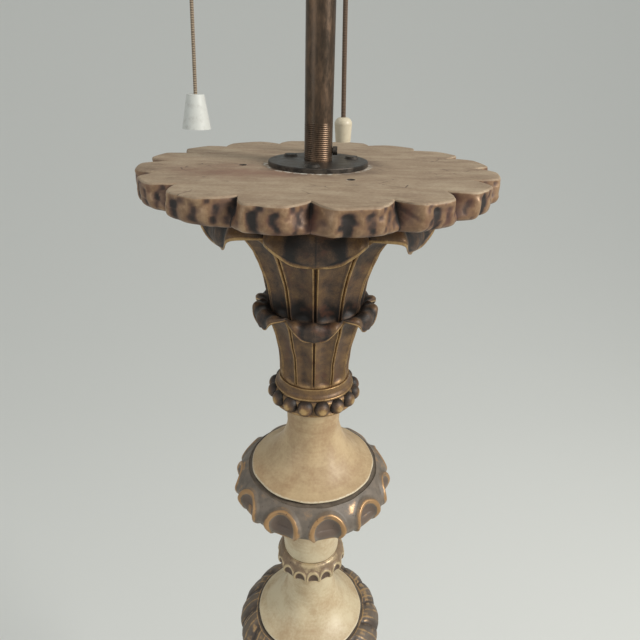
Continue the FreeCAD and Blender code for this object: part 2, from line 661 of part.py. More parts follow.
def switch_lever(side):
    """Rocking bar with an eye for the cord, shown with the cord released (eye up)."""
    eye = LEVER_L
    bar = Part.makeBox(eye + LEVER_TAIL, LEVER_W, LEVER_T, V(-eye, -LEVER_W / 2, -LEVER_T / 2))
    bar = bar.fuse([rod(LEVER_EYE_R, LEVER_T, V(-eye, 0, -LEVER_T / 2)),
                    rod(LEVER_PIN_R + 1.6, LEVER_W, V(0, -LEVER_W / 2, 0), V(0, 1, 0))])
    hole_r = outlet_r(side)
    slot = Part.makeBox(1.6, 2 * hole_r, LEVER_T, V(-eye - 0.8, -hole_r, -LEVER_T / 2))
    slot = slot.fuse([rod(hole_r, LEVER_T, V(-eye + s * 0.8, 0, -LEVER_T / 2)) for s in (-1, 1)])
    bar = bar.cut(slot)
    bar = bar.cut(rod(LEVER_PIN_R + RUN_CLEAR, LEVER_W, V(0, -LEVER_W / 2, 0), V(0, 1, 0)))
    bar.rotate(V(0, 0, 0), V(0, 1, 0), LEVER_SWING / 2.0)
    bar.translate(holder_place(side, Z_CASE + LEVER_Z) - V(PIVOT_REACH, 0, 0))
    return bar


def cover_plate(side):
    body = pear(CASE_R, CASE_SPOUT_R, COVER_T, 0).cut(rod(3.0, COVER_T, V(CASE_R * 0.4, 0, 0)))
    body.translate(holder_place(side, Z_COVER))
    return body


def contact_core(side):
    """Porcelain disc with the centre contact standing on it."""
    body = rod(CORE_R, CORE_H * 0.6, V(0, 0, 0)).fuse(rod(CORE_R * 0.55, CORE_H, V(0, 0, 0)))
    body = body.cut([rod(1.6, CORE_H * 0.6, polar(CORE_R * 0.75, a)) for a in (30.0, 210.0)])
    body.translate(holder_place(side, Z_HOLDER))
    return body


def holder_shell(side):
    lip = 2.0
    outline = Outline(CORE_R + FIT, 0).line(HOLDER_R, 0).line(HOLDER_R, SHADE_RING_Z + SHADE_RING_H)
    outline.line(HOLDER_R - 1.2, SHADE_RING_Z + SHADE_RING_H + 1.2).line(HOLDER_R - 1.2, HOLDER_H - 1.0)
    outline.bow(HOLDER_R - lip - 1.2, HOLDER_H, -0.4).line(HOLDER_BORE_R, HOLDER_H - lip)
    outline.line(HOLDER_BORE_R, CORE_H + 1.0).line(HOLDER_BORE_R + 0.8, CORE_H + 1.0)
    outline.line(HOLDER_BORE_R + 0.8, CORE_H * 0.6 + 1.0).line(CORE_R + FIT, CORE_H * 0.6)
    body = outline.solid()
    body.translate(holder_place(side, Z_HOLDER))
    return body


def shade_ring(side):
    outline = Outline(HOLDER_R + FIT, 0).line(SHADE_RING_R, 0).line(SHADE_RING_R, 2.0)
    outline.line(HOLDER_R + 3.0, 3.0).line(HOLDER_R + 3.0, SHADE_RING_H).line(HOLDER_R + FIT, SHADE_RING_H)
    body = outline.solid()
    notch = rod(1.2, SHADE_RING_H, V(SHADE_RING_R + 0.3, 0, 0))
    body = body.cut(ring_of(notch, 12))
    body.translate(holder_place(side, Z_HOLDER + SHADE_RING_Z))
    return body


def outlet_place(side):
    return holder_place(side, Z_CASE) - V(OUTLET_REACH, 0, 0)


def knot_seat(side):
    """Height of the flat under the knot above the released lever."""
    swing = math.radians(LEVER_SWING / 2.0)
    rise = LEVER_L * math.sin(swing) + LEVER_T / 2.0 / math.cos(swing)
    return Z_CASE + LEVER_Z + rise + STOP_GAP + (STOP_R + 1.0) * math.tan(swing)


def pull_points(side):
    """The cord's route: from the knot over the lever down to the knot in the pull."""
    outlet = outlet_place(side)
    points = [V(outlet.x, outlet.y, knot_seat(side))]
    points += [V(x, y, Z_TOP + height) for x, y, height in CORD_POINTS[side]]
    last, before = points[-1], points[-2]
    way = (last - before).normalize()
    points[-1] = last + way * PULL_FLOOR
    return points


def bent_tube(points, radius):
    """A tube of straight runs joined by tangent arcs; prints the arcs' radii."""
    edges = []
    at = points[0]
    for i in range(1, len(points) - 1):
        back, ahead = points[i - 1] - points[i], points[i + 1] - points[i]
        half = (math.pi - back.getAngle(ahead)) / 2.0
        cut = 0.45 * min(back.Length, ahead.Length)
        bend = cut / math.tan(half)
        start = points[i] + back.normalize() * cut
        end = points[i] + ahead.normalize() * cut
        centre_way = (start + end - points[i] * 2.0).normalize()
        middle = points[i] + centre_way * (bend / math.cos(half) - bend)
        edges.append(Part.LineSegment(at, start).toShape())
        edges.append(Part.Arc(start, middle, end).toShape())
        print("cord bend radius", round(bend, 1))
        at = end
    edges.append(Part.LineSegment(at, points[-1]).toShape())
    path = Part.Wire(edges)
    ring = Part.Wire(Part.Circle(points[0], points[1] - points[0], radius).toShape())
    tube = path.makePipeShell([ring], True, False)
    print("cord length", round(path.Length, 1), "volume ratio",
          round(tube.Volume / (math.pi * radius * radius * path.Length), 5))
    return tube


def hang_at(shape, point, way):
    """Move a shape that hangs below the origin along -Z to a point on the cord."""
    copy = shape.copy()
    copy.Placement = FreeCAD.Placement(point, FreeCAD.Rotation(V(0, 0, -1), way))
    return copy


def flat_knot(radius):
    """A round knot hanging below the origin, flat where the cord enters it."""
    box = 4.0 * radius
    ball = Part.makeSphere(radius, V(0, 0, -radius * 0.8))
    return ball.common(Part.makeBox(box, box, box, V(-box / 2, -box / 2, -box)))


def cord_knots(side):
    """The knot that bears on the lever and the one that carries the pull."""
    points = pull_points(side)
    top = hang_at(flat_knot(STOP_R), points[0], points[0] - points[1])
    low = hang_at(flat_knot(KNOT_R[side]), points[-1], points[-1] - points[-2])
    return Part.makeCompound([top, low])


def cone_pull(hole):
    """Tapered pull, open below, whose ceiling is at the origin."""
    low = PULL_FLOOR - CONE_H
    outline = Outline(hole, PULL_FLOOR - 0.6).line(hole + 0.8, PULL_FLOOR).line(CONE_TOP_R - 0.6, PULL_FLOOR)
    outline.bow(CONE_TOP_R, PULL_FLOOR - 0.8, 0.2).line(CONE_FOOT_R, low).line(CONE_FOOT_R - CONE_WALL, low)
    return outline.line(CONE_TOP_R - CONE_WALL, 0).line(hole, 0).solid()


def acorn_pull(hole):
    """Round-shouldered pull, open below, whose ceiling is at the origin."""
    low = PULL_FLOOR - ACORN_H
    outline = Outline(hole, PULL_FLOOR).line(ACORN_TOP_R, PULL_FLOOR).bow(ACORN_R, PULL_FLOOR - 6.5, 1.6)
    outline.line(ACORN_FOOT_R, low).line(ACORN_FOOT_R - ACORN_WALL, low)
    return outline.line(ACORN_R - ACORN_WALL - 1.0, 0).line(hole, 0).solid()


def pull(side):
    points = pull_points(side)
    make = cone_pull if side == "left" else acorn_pull
    return hang_at(make(CORD_R[side] + 0.2), points[-1], points[-1] - points[-2])


# ---------------------------------------------------------------- the lamp
def build_column():
    save("drip_disc", drip_disc())
    save("capital_upper", capital_upper())
    save("capital_lower", column_piece(capital_lower(), Z_CAPITAL_LOW, Z_CAPITAL_UP))
    save("bead_collar_upper", column_piece(bead_collar(Z_COLLAR_1), Z_COLLAR_1, Z_CAPITAL_LOW))
    save("trumpet_upper", column_piece(trumpet(Z_TRUMPET_1, TRUMPET_1_H, TRUMPET_1_R), Z_TRUMPET_1, Z_COLLAR_1))
    ring = ring_body(Z_RING_1, RING_1_H, TRUMPET_1_R, RING_1_R, NECK_R + 2.0)
    ring = scooped(ring, Z_RING_1, RING_1_H, RING_1_R, SCOOPS_1, -77.9, 13.0)
    save("scalloped_ring_upper", column_piece(ring, Z_RING_1, Z_TRUMPET_1))
    save("neck_upper", column_piece(rod(NECK_R, NECK_1_H, V(0, 0, Z_NECK_1)), Z_NECK_1, Z_RING_1))
    save("neck_ring_upper", column_piece(neck_ring(Z_NECK_RING_1), Z_NECK_RING_1, Z_NECK_1))
    save("trumpet_middle", column_piece(trumpet(Z_TRUMPET_2, TRUMPET_2_H, TRUMPET_2_R), Z_TRUMPET_2, Z_NECK_RING_1))
    ring = lobed_ring(Z_RING_2, RING_2_H, TRUMPET_2_R, RING_2_R, NECK_R + 2.0, LOBES_2, 2.4)
    save("lobed_ring_middle", column_piece(ring, Z_RING_2, Z_TRUMPET_2))
    save("neck_middle", column_piece(rod(NECK_R, NECK_2_H, V(0, 0, Z_NECK_2)), Z_NECK_2, Z_RING_2))
    save("neck_ring_middle", column_piece(neck_ring(Z_NECK_RING_2), Z_NECK_RING_2, Z_NECK_2))
    save("main_shaft", column_piece(shaft(), Z_SHAFT, Z_NECK_RING_2))
    save("leaf_cup", column_piece(leaf_cup(), Z_LEAF_CUP, Z_SHAFT))
    save("bead_collar_lower", column_piece(bead_collar(Z_COLLAR_2), Z_COLLAR_2, Z_LEAF_CUP))
    save("trumpet_lower", column_piece(trumpet(Z_TRUMPET_3, TRUMPET_3_H, TRUMPET_3_R), Z_TRUMPET_3, Z_COLLAR_2))
    ring = ring_body(Z_RING_3, RING_3_H, TRUMPET_3_R, RING_3_R, BASE_NECK_R)
    ring = scooped(ring, Z_RING_3, RING_3_H, RING_3_R, SCOOPS_3, 0.0, 14.0)
    save("scalloped_ring_lower", column_piece(ring, Z_RING_3, Z_TRUMPET_3))
    save("base_trumpet", base_trumpet())
    save("base_ring", base_ring())
    save("base_board", base_board())
    for i in range(FOOT_COUNT):
        save("bun_foot_%d" % (i + 1), bun_foot(i))


def build_hardware():
    dowels = [rod(DOWEL_R, DOWEL_L, polar(FOOT_CIRCLE_R, foot_angle(i), Z_BOARD - DOWEL_L / 2))
              for i in range(FOOT_COUNT)]
    save("foot_dowels", Part.makeCompound(dowels))
    ballast = rod(BALLAST_R, BALLAST_H, V(0, 0, Z_BASE_RING))
    save("ballast_weight", ballast.cut(rod(BORE_R, BALLAST_H, V(0, 0, Z_BASE_RING))))
    save("draw_rod", draw_rod())
    well_top = Z_TOP - WASHER_T - NUT_H - DEPTH_CLEAR * 2
    well_low = Z_BOARD + NUT_H
    save("rod_washers", Part.makeCompound([washer(well_top), washer(well_low)]))
    nuts = [hex_nut(NUT_FLATS, NUT_H, ROD_R + FIT / 2, V(0, 0, z)) for z in (well_top + WASHER_T, well_low - NUT_H)]
    save("rod_nuts", Part.makeCompound(nuts))
    save("cable_bush", cable_bush())
    save("flange_plate", flange_plate())
    save("flange_screws", Part.makeCompound([flange_screw(i) for i in range(FLANGE_SCREWS)]))
    pins = [rod(PIN_R - FIT / 2, PIN_L, V(x, y, Z_TOP - PIN_L - PIN_SINK)) for x, y in PIN_PLACES]
    save("disc_pins", Part.makeCompound(pins))
    save("stem_tube", stem_tube())
    save("tube_lock_screw", tube_lock_screw())


def build_head():
    save("hub", hub())
    save("finial", finial())
    save("arm_nuts", Part.makeCompound([arm_nut(side) for side in SIDES]))
    save("lever_pins", Part.makeCompound([lever_pin(side) for side in SIDES]))
    for side in SIDES:
        save(side + "_arm", arm(side))
        save(side + "_switch_case", switch_case(side))
        save(side + "_switch_lever", switch_lever(side))
        save(side + "_case_cover", cover_plate(side))
        save(side + "_contact_core", contact_core(side))
        save(side + "_holder_shell", holder_shell(side))
        save(side + "_shade_ring", shade_ring(side))
        save(side + "_cord", bent_tube(pull_points(side), CORD_R[side]))
        save(side + "_cord_knots", cord_knots(side))
        save(side + "_pull", pull(side))


build_column()
build_hardware()
build_head()
print("disc top at", Z_TOP, "case bottom at", Z_CASE, "swing", round(LEVER_SWING, 3))
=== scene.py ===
import json
import math
import bpy
import numpy as np
from mathutils import Matrix, Vector


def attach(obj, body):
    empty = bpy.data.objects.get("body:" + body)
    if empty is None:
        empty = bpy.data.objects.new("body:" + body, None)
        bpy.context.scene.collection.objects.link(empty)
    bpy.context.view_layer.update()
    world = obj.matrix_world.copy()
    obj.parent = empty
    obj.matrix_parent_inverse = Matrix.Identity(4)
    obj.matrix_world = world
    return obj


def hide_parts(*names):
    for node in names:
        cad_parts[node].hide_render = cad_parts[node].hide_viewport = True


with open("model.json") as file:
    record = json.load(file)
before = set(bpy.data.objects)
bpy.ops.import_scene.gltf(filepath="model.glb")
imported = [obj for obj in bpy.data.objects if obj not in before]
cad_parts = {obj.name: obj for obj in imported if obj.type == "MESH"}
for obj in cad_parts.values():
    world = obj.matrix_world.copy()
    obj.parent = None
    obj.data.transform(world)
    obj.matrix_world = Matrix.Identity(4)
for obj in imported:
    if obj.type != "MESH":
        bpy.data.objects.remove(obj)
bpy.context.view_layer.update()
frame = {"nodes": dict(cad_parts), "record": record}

# Candlestick floor lamp. Shapes are worked out in millimetres and written in metres.
MM = 0.001
TOP = 1295.0                       # height of the drip disc's upper face
FLANGE_CRUST = 41.2                # radius of the dried paint left round the flange
COARSE = 1


# ---------------------------------------------------------------- camera
def place_camera():
    data = bpy.data.cameras.new("camera")
    data.sensor_width = 36.0
    data.lens = 30.869
    data.shift_y = -0.05
    data.clip_end = 60.0
    camera = bpy.data.objects.new("camera", data)
    bpy.context.scene.collection.objects.link(camera)
    camera.rotation_mode = "XYZ"
    pitch, roll = math.radians(90.0 - 22.458), math.radians(1.2331)
    matrix = Matrix.Rotation(pitch, 4, "X") @ Matrix.Rotation(roll, 4, "Z")
    matrix.translation = (0.00365, -0.4415, 1.3712)
    camera.matrix_world = matrix
    bpy.context.scene.camera = camera


# ---------------------------------------------------------------- node materials
class Shade:
    """A node material, built up node by node. Vectors are object coordinates in metres."""

    def __init__(self, name):
        self.material = bpy.data.materials.new(name)
        self.material.use_nodes = True
        self.tree = self.material.node_tree
        self.bsdf = self.tree.nodes["Principled BSDF"]
        self.here = self.add("ShaderNodeTexCoord").outputs["Object"]

    def add(self, kind, settings=None, **inputs):
        node = self.tree.nodes.new(kind)
        for key, value in (settings or {}).items():
            setattr(node, key, value)
        for key, value in inputs.items():
            self.feed(node.inputs[key.replace("_", " ")], value)
        return node

    def feed(self, socket, value):
        if isinstance(value, bpy.types.NodeSocket):
            self.tree.links.new(value, socket)
        else:
            socket.default_value = value

    def set(self, **inputs):
        for key, value in inputs.items():
            self.feed(self.bsdf.inputs[key.replace("_", " ")], value)
        return self.material

    def scaled(self, x, y, z):
        node = self.add("ShaderNodeMapping", Vector=self.here)
        node.inputs["Scale"].default_value = (x, y, z)
        return node.outputs["Vector"]

    def noise(self, scale, detail=4.0, rough=0.55, vector=None, distortion=0.0):
        node = self.add("ShaderNodeTexNoise", Vector=vector or self.here, Scale=scale, Detail=detail,
                        Roughness=rough, Distortion=distortion)
        return node.outputs["Fac"]

    def cells(self, scale, vector=None, feature="F1"):
        node = self.add("ShaderNodeTexVoronoi", {"feature": feature}, Vector=vector or self.here, Scale=scale)
        return node.outputs["Distance"]

    def math(self, operation, a, b=0.0):
        node = self.add("ShaderNodeMath", {"operation": operation})
        self.feed(node.inputs[0], a)
        self.feed(node.inputs[1], b)
        return node.outputs[0]

    def total(self, *terms):
        """Sum of (value, weight) pairs and plain numbers."""
        result = None
        for term in terms:
            value = self.math("MULTIPLY", *term) if isinstance(term, tuple) else term
            result = value if result is None else self.math("ADD", result, value)
        return result

    def band(self, value, low, high, out_low=0.0, out_high=1.0):
        node = self.add("ShaderNodeMapRange", {"interpolation_type": "SMOOTHSTEP"})
        for socket, number in zip(node.inputs, (value, low, high, out_low, out_high)):
            self.feed(socket, number)
        return node.outputs[0]

    def mix(self, factor, a, b):
        node = self.add("ShaderNodeMix", {"data_type": "RGBA"})
        self.feed(node.inputs[0], factor)
        self.feed(node.inputs[6], a if isinstance(a, bpy.types.NodeSocket) else (*a, 1.0))
        self.feed(node.inputs[7], b if isinstance(b, bpy.types.NodeSocket) else (*b, 1.0))
        return node.outputs[2]

    def ramp(self, value, *stops):
        node = self.add("ShaderNodeValToRGB", Fac=value)
        items = node.color_ramp.elements
        while len(items) < len(stops):
            items.new(0.5)
        for item, (place, colour) in zip(items, stops):
            item.position = place
            item.color = (*colour, 1.0)
        return node.outputs["Color"]

    def attribute(self, name):
        return self.add("ShaderNodeAttribute", {"attribute_name": name}).outputs["Fac"]

    def axes(self):
        node = self.add("ShaderNodeSeparateXYZ", Vector=self.here)
        return node.outputs

    def radius(self):
        x, y, _ = self.axes()
        return self.math("SQRT", self.math("ADD", self.math("MULTIPLY", x, x), self.math("MULTIPLY", y, y)))

    def bump(self, height, strength, distance):
        node = self.add("ShaderNodeBump", Height=height)
        node.inputs["Strength"].default_value = strength
        node.inputs["Distance"].default_value = distance
        self.feed(self.bsdf.inputs["Normal"], node.outputs["Normal"])


def gilt(name):
    """Worn gilding: dark in the hollows, bronze on the flats, gold on the worn edges."""
    s = Shade(name)
    blotch, speck = s.noise(150.0, 5.0), s.noise(1100.0, 3.0)
    # grime_and_shade darkens the gold: painted shade at the leaves' bases, on their curled lips under the
    # disc and on the beads' inner halves, with some grime.
    level = s.total((s.attribute("broad"), 0.10), (s.attribute("fine"), 0.16), (blotch, 0.50), (speck, 0.30),
                    (s.attribute("grime_and_shade"), -0.42), 0.19)
    colour = s.ramp(level, (0.18, (0.012, 0.009, 0.007)), (0.36, (0.052, 0.031, 0.019)),
                    (0.52, (0.125, 0.072, 0.036)), (0.68, (0.230, 0.138, 0.062)), (0.92, (0.50, 0.33, 0.15)))
    bole = s.band(s.noise(70.0, 4.0, 0.6), 0.54, 0.68, 0.0, 0.50)
    colour = s.mix(bole, colour, (0.105, 0.042, 0.023))
    s.bump(s.total((blotch, 0.6), (speck, 0.4)), 0.35, 0.0008)
    return s.set(Base_Color=colour, Metallic=s.band(level, 0.36, 0.80, 0.1, 0.65),
                 Roughness=s.band(level, 0.30, 0.85, 0.56, 0.36))


def ring_finish(name, flat, hollow, edge, wear=0.0):
    """Turned and carved rings: dull paint on the flats, gold left on the raised edges."""
    s = Shade(name)
    blotch, speck, drift = s.noise(120.0, 5.0, 0.6), s.noise(900.0, 3.0), s.noise(42.0, 4.0, 0.6)
    proud, broad, sunk = s.attribute("fine"), s.attribute("broad"), s.attribute("sunk")
    colour = s.mix(s.band(blotch, 0.36, 0.66), tuple(0.78 * c for c in flat), tuple(1.18 * c for c in flat))
    around = s.math("MULTIPLY", s.band(s.math("ADD", broad, proud), 0.0, 0.9), s.band(sunk, 0.1, 0.0))
    bronze = tuple(0.24 * e + 0.38 * f for e, f in zip(edge, flat))
    colour = s.mix(s.math("MULTIPLY", around, 0.75), colour, bronze)
    inside = s.band(s.total((sunk, 1.0), (blotch, 0.35)), 0.22, 0.60, 0.0, 0.95)
    colour = s.mix(inside, colour, hollow)
    gold = s.band(s.total((proud, 0.46), (broad, 0.10), (blotch, 0.75), (drift, 1.05), (speck, 0.2), wear),
                  1.06, 1.36, 0.0, 0.92)
    colour = s.mix(gold, colour, edge)
    chips = s.band(s.noise(300.0, 4.0, 0.6), 0.64, 0.72, 0.0, 0.75)
    colour = s.mix(chips, colour, (0.05, 0.028, 0.018))
    s.bump(s.total((blotch, 0.6), (speck, 0.4)), 0.3, 0.0007)
    return s.set(Base_Color=colour, Metallic=s.math("MULTIPLY", gold, 0.5),
                 Roughness=s.band(s.total((gold, 0.6), (blotch, 0.4)), 0.2, 0.9, 0.52, 0.34))


def cream(name, pale, glazed):
    """Cream paint under a brown glaze, rubbed along the turned edges."""
    s = Shade(name)
    cloud, fleck = s.noise(34.0, 5.0, 0.6), s.noise(420.0, 4.0, 0.6)
    rings = s.noise(30.0, 3.0, vector=s.scaled(0.4, 0.4, 14.0))
    glaze = s.band(s.total((cloud, 0.75), (rings, 0.18), (fleck, 0.28)), 0.46, 0.82, 0.0, 0.85)
    colour = s.mix(glaze, pale, glazed)
    worn = s.band(s.total((s.attribute("fine"), 0.55), (fleck, 0.7), (cloud, 0.7)), 0.92, 1.25, 0.0, 0.9)
    colour = s.mix(worn, colour, (0.64, 0.56, 0.40))
    dirt = s.band(s.total((s.attribute("broad"), -0.7), (fleck, 0.5)), 0.42, 0.80, 0.0, 0.8)
    colour = s.mix(dirt, colour, (0.15, 0.10, 0.05))
    specks = s.band(s.cells(160.0), 0.055, 0.035, 0.0, 0.55)
    colour = s.mix(specks, colour, (0.16, 0.10, 0.06))
    s.bump(s.total((fleck, 0.6), (rings, 0.3)), 0.2, 0.0005)
    return s.set(Base_Color=colour, Roughness=s.band(cloud, 0.3, 0.7, 0.42, 0.56))


def disc_finish(name):
    """Matt paint rubbed down to the wood on the disc's face, worn gilding round its lobes."""
    s = Shade(name)
    grain = s.noise(30.0, 6.0, 0.62, s.scaled(1.0, 2.6, 2.6))
    cloud, speck = s.noise(17.0, 5.0, 0.6), s.noise(420.0, 4.0, 0.65)
    face = s.ramp(s.total((grain, 0.45), (cloud, 0.30), (speck, 0.25)), (0.34, (0.19, 0.125, 0.078)),
                  (0.48, (0.295, 0.215, 0.14)), (0.62, (0.40, 0.315, 0.215)))
    x, y, _ = s.axes()
    aside, ahead = s.math("ADD", x, 0.045), s.math("ADD", y, 0.038)
    away = s.math("SQRT", s.total((s.math("MULTIPLY", aside, aside), 0.35),
                                  (s.math("MULTIPLY", ahead, ahead), 1.6)))
    rubbed = s.band(s.total((away, -14.0), (s.noise(26.0, 5.0, 0.65), 1.3)), 0.02, 0.62, 0.0, 0.72)
    face = s.mix(rubbed, face, (0.215, 0.112, 0.072))
    cracks = s.band(s.cells(34.0, s.scaled(1.0, 3.4, 2.0), "DISTANCE_TO_EDGE"), 0.022, 0.006, 0.0, 1.0)
    cracks = s.math("MULTIPLY", cracks, s.band(s.noise(26.0, 4.0, 0.6), 0.50, 0.62, 0.0, 0.8))
    face = s.mix(cracks, face, (0.085, 0.050, 0.034))
    radius = s.radius()
    from_crust = s.math("ABSOLUTE", s.math("SUBTRACT", radius, FLANGE_CRUST * MM))
    crust = s.math("MULTIPLY", s.band(from_crust, 0.0030, 0.0008),
                   s.band(s.noise(260.0, 5.0, 0.7), 0.47, 0.56))
    crumbs = s.math("MULTIPLY", s.band(s.attribute("hole"), 0.12, 0.35),
                    s.band(s.noise(420.0, 4.0, 0.7), 0.56, 0.62))
    face = s.mix(s.math("MAXIMUM", crust, crumbs), face, (0.62, 0.58, 0.50))
    soot = s.math("MULTIPLY", s.band(radius, 0.062, 0.036), s.band(s.noise(50.0, 4.0), 0.42, 0.62, 0.0, 0.8))
    face = s.mix(soot, face, (0.10, 0.065, 0.045))
    # Near black inside the two holes: painted shade in their depth.
    face = s.mix(s.band(s.attribute("hole"), 0.45, 0.75), face, (0.020, 0.014, 0.010))
    blotch = s.noise(70.0, 5.0, 0.6)
    level = s.total((s.attribute("broad"), 0.15), (s.attribute("fine"), 0.24), (blotch, 0.46), (speck, 0.2),
                    0.03)
    edge = s.ramp(level, (0.16, (0.016, 0.011, 0.009)), (0.34, (0.055, 0.030, 0.020)),
                  (0.50, (0.125, 0.066, 0.038)), (0.66, (0.215, 0.125, 0.066)), (0.90, (0.50, 0.34, 0.20)))
    bole = s.band(s.noise(48.0, 4.0, 0.6), 0.50, 0.66, 0.0, 0.55)
    edge = s.mix(bole, edge, (0.120, 0.046, 0.029))
    border = s.band(s.total((s.attribute("zone"), 1.0), (s.noise(140.0, 5.0), 0.5)), 0.62, 0.82)
    colour = s.mix(border, face, edge)
    s.bump(s.total((grain, 0.4), (speck, 0.4), (blotch, 0.3), (cracks, -0.6)), 0.4, 0.0009)
    metal = s.math("MULTIPLY", border, s.band(level, 0.46, 0.90, 0.0, 0.45))
    rough = s.band(s.math("MULTIPLY", border, level), 0.2, 0.8, 0.72, 0.40)
    return s.set(Base_Color=colour, Metallic=metal, Roughness=rough)


def old_metal(name, dark, light, metallic, rough, scale=180.0, stretch=(1.0, 1.0, 1.0)):
    """Patinated metal: two tones broken up at two scales."""
    s = Shade(name)
    vector = s.scaled(*stretch)
    blotch, speck = s.noise(scale, 6.0, 0.6, vector), s.noise(scale * 6.0, 3.0, 0.6, vector)
    level = s.total((blotch, 0.75), (speck, 0.35))
    colour = s.mix(s.band(level, 0.40, 0.72), dark, light)
    s.bump(level, 0.22, 0.0005)
    dulled = s.band(level, 0.35, 0.75, rough - 0.08, rough + 0.14)
    return s.set(Base_Color=colour, Metallic=metallic, Roughness=dulled)


def moulded(name, colour, stain, rough, marks=0.35):
    """Moulded plastic or glazed ware with a little grime."""
    s = Shade(name)
    cloud, fleck = s.noise(220.0, 5.0, 0.6), s.noise(1500.0, 3.0, 0.6)
    tone = s.mix(s.band(s.total((cloud, 0.7), (fleck, 0.3)), 0.46, 0.75, 0.0, marks), colour, stain)
    s.bump(fleck, 0.12, 0.0002)
    return s.set(Base_Color=tone, Roughness=s.band(cloud, 0.3, 0.7, rough, rough + 0.15))


def timber(name, dark, light):
    """Stained wood, its grain running across."""
    s = Shade(name)
    grain = s.noise(30.0, 7.0, 0.62, s.scaled(1.0, 12.0, 12.0), 0.6)
    fine = s.noise(400.0, 4.0, 0.6, s.scaled(0.15, 1.0, 1.0))
    level = s.total((grain, 0.7), (fine, 0.35))
    colour = s.mix(s.band(level, 0.38, 0.72), dark, light)
    s.bump(level, 0.3, 0.0006)
    return s.set(Base_Color=colour, Roughness=s.band(level, 0.3, 0.8, 0.42, 0.60))


def twisted(name, dark, light, pitch):
    """Cord: slanting strands that wind round it."""
    s = Shade(name)
    wave = s.add("ShaderNodeTexWave", {"bands_direction": "Z"}, Vector=s.here, Scale=1.0 / pitch,
                 Distortion=2.5, Detail=2.0)
    wave.inputs["Detail Scale"].default_value = 3.0
    fibre = s.noise(2600.0, 3.0, 0.6)
    level = s.total((wave.outputs["Fac"], 0.6), (fibre, 0.5))
    s.bump(level, 0.5, 0.0004)
    return s.set(Base_Color=s.mix(s.band(level, 0.3, 0.8), dark, light), Roughness=0.82)


# ---------------------------------------------------------------- meshes
def smooth_run(points, step):
    """Samples of a smooth curve through the points (r, z), about one step apart."""
    p = np.array(points, float)
    d = np.maximum(np.linalg.norm(np.diff(p, axis=0), axis=1), 1e-6)
    slope = np.diff(p, axis=0) / d[:, None]
    tangent = np.empty_like(p)
    tangent[0], tangent[-1] = slope[0], slope[-1]
    if len(p) > 2:
        tangent[1:-1] = (slope[1:] * d[:-1, None] + slope[:-1] * d[1:, None]) / (d[1:] + d[:-1])[:, None]
    out = []
    for i in range(len(d)):
        n = max(1, int(math.ceil(d[i] / step)))
        t = (np.arange(n) / n)[:, None]
        out.append((2 * t**3 - 3 * t**2 + 1) * p[i] + (t**3 - 2 * t**2 + t) * d[i] * tangent[i]
                   + (-2 * t**3 + 3 * t**2) * p[i + 1] + (t**3 - t**2) * d[i] * tangent[i + 1])
    return np.vstack(out + [p[-1:]])


def profile(runs, step):
    """A closed loop in the r-z plane: smooth runs joined at corners, outer side upwards."""
    parts = [smooth_run(run, step)[:-1] for run in runs]
    return np.vstack(parts)


def normals_2d(loop):
    tangent = np.roll(loop, -1, axis=0) - np.roll(loop, 1, axis=0)
    tangent /= np.maximum(np.linalg.norm(tangent, axis=1), 1e-9)[:, None]
    return np.stack([tangent[:, 1], -tangent[:, 0]], axis=1)


def arc_length(loop):
    return np.concatenate([[0.0], np.cumsum(np.linalg.norm(np.diff(loop, axis=0), axis=1))])


def grid_faces(rows, columns):
    j, i = np.arange(rows)[:, None], np.arange(columns)[None, :]
    up, on = (j + 1) % rows, (i + 1) % columns
    corners = [j * columns + i, j * columns + on, up * columns + on, up * columns + i]
    return np.stack(corners, -1).reshape(-1, 4)


def ripple(points, size, amount, seed):
    """A slow, seeded unevenness in mm, as a carver's hand leaves it."""
    rng = np.random.default_rng(seed)
    value = np.zeros(points.shape[:-1])
    for _ in range(9):
        way = rng.normal(size=3)
        way *= 2.0 * math.pi / size / np.linalg.norm(way) * rng.uniform(0.6, 1.6)
        value += np.sin(points @ way + rng.uniform(0, 6.28))
    return value * amount / 3.0


def add_relief_attributes(mesh):
    """Stores how far each point stands proud of (+) or sunk below (-) its surroundings."""
    n = len(mesh.vertices)
    place = np.empty(n * 3)
    mesh.vertices.foreach_get("co", place)
    place = place.reshape(n, 3)
    ends = np.empty(len(mesh.edges) * 2, dtype=np.int64)
    mesh.edges.foreach_get("vertices", ends)
    ends = ends.reshape(-1, 2)
    normal = np.empty(n * 3)
    mesh.vertex_normals.foreach_get("vector", normal)
    normal = normal.reshape(n, 3)
    a, b = np.concatenate([ends[:, 0], ends[:, 1]]), np.concatenate([ends[:, 1], ends[:, 0]])
    count = np.maximum(np.bincount(a, minlength=n), 1)
    smooth = place.copy()
    done = 0
    for name, passes, full in (("fine", 6, 0.00012), ("broad", 60, 0.0009)):
        passes = max(2, passes // (COARSE * COARSE))
        while done < passes:
            mean = np.stack([np.bincount(a, smooth[b, k], n) / count for k in range(3)], axis=1)
            smooth = 0.5 * (smooth + mean)
            done += 1
        value = np.tanh(np.einsum("ij,ij->i", place - smooth, normal) / full)
        store(mesh, name, value)


def store(mesh, name, value):
    """Keeps a number at each point, for the materials to read."""
    attribute = mesh.attributes.new(name, "FLOAT", "POINT")
    attribute.data.foreach_set("value", value.astype(np.float32).ravel())


def new_mesh(name, points, faces, material):
    """A smooth-shaded mesh in metres, from points in millimetres."""
    mesh = bpy.data.meshes.new(name)
    mesh.from_pydata((points.reshape(-1, 3) * MM).tolist(), [], faces)
    mesh.polygons.foreach_set("use_smooth", np.ones(len(mesh.polygons), dtype=bool))
    mesh.materials.append(material)
    mesh.update()
    return mesh


def add_piece(name, mesh, nodes=()):
    """Puts the mesh on the lamp, standing for the named CAD nodes."""
    piece = bpy.data.objects.new(name, mesh)
    bpy.context.scene.collection.objects.link(piece)
    if nodes:
        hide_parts(*nodes)
    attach(piece, "lamp")


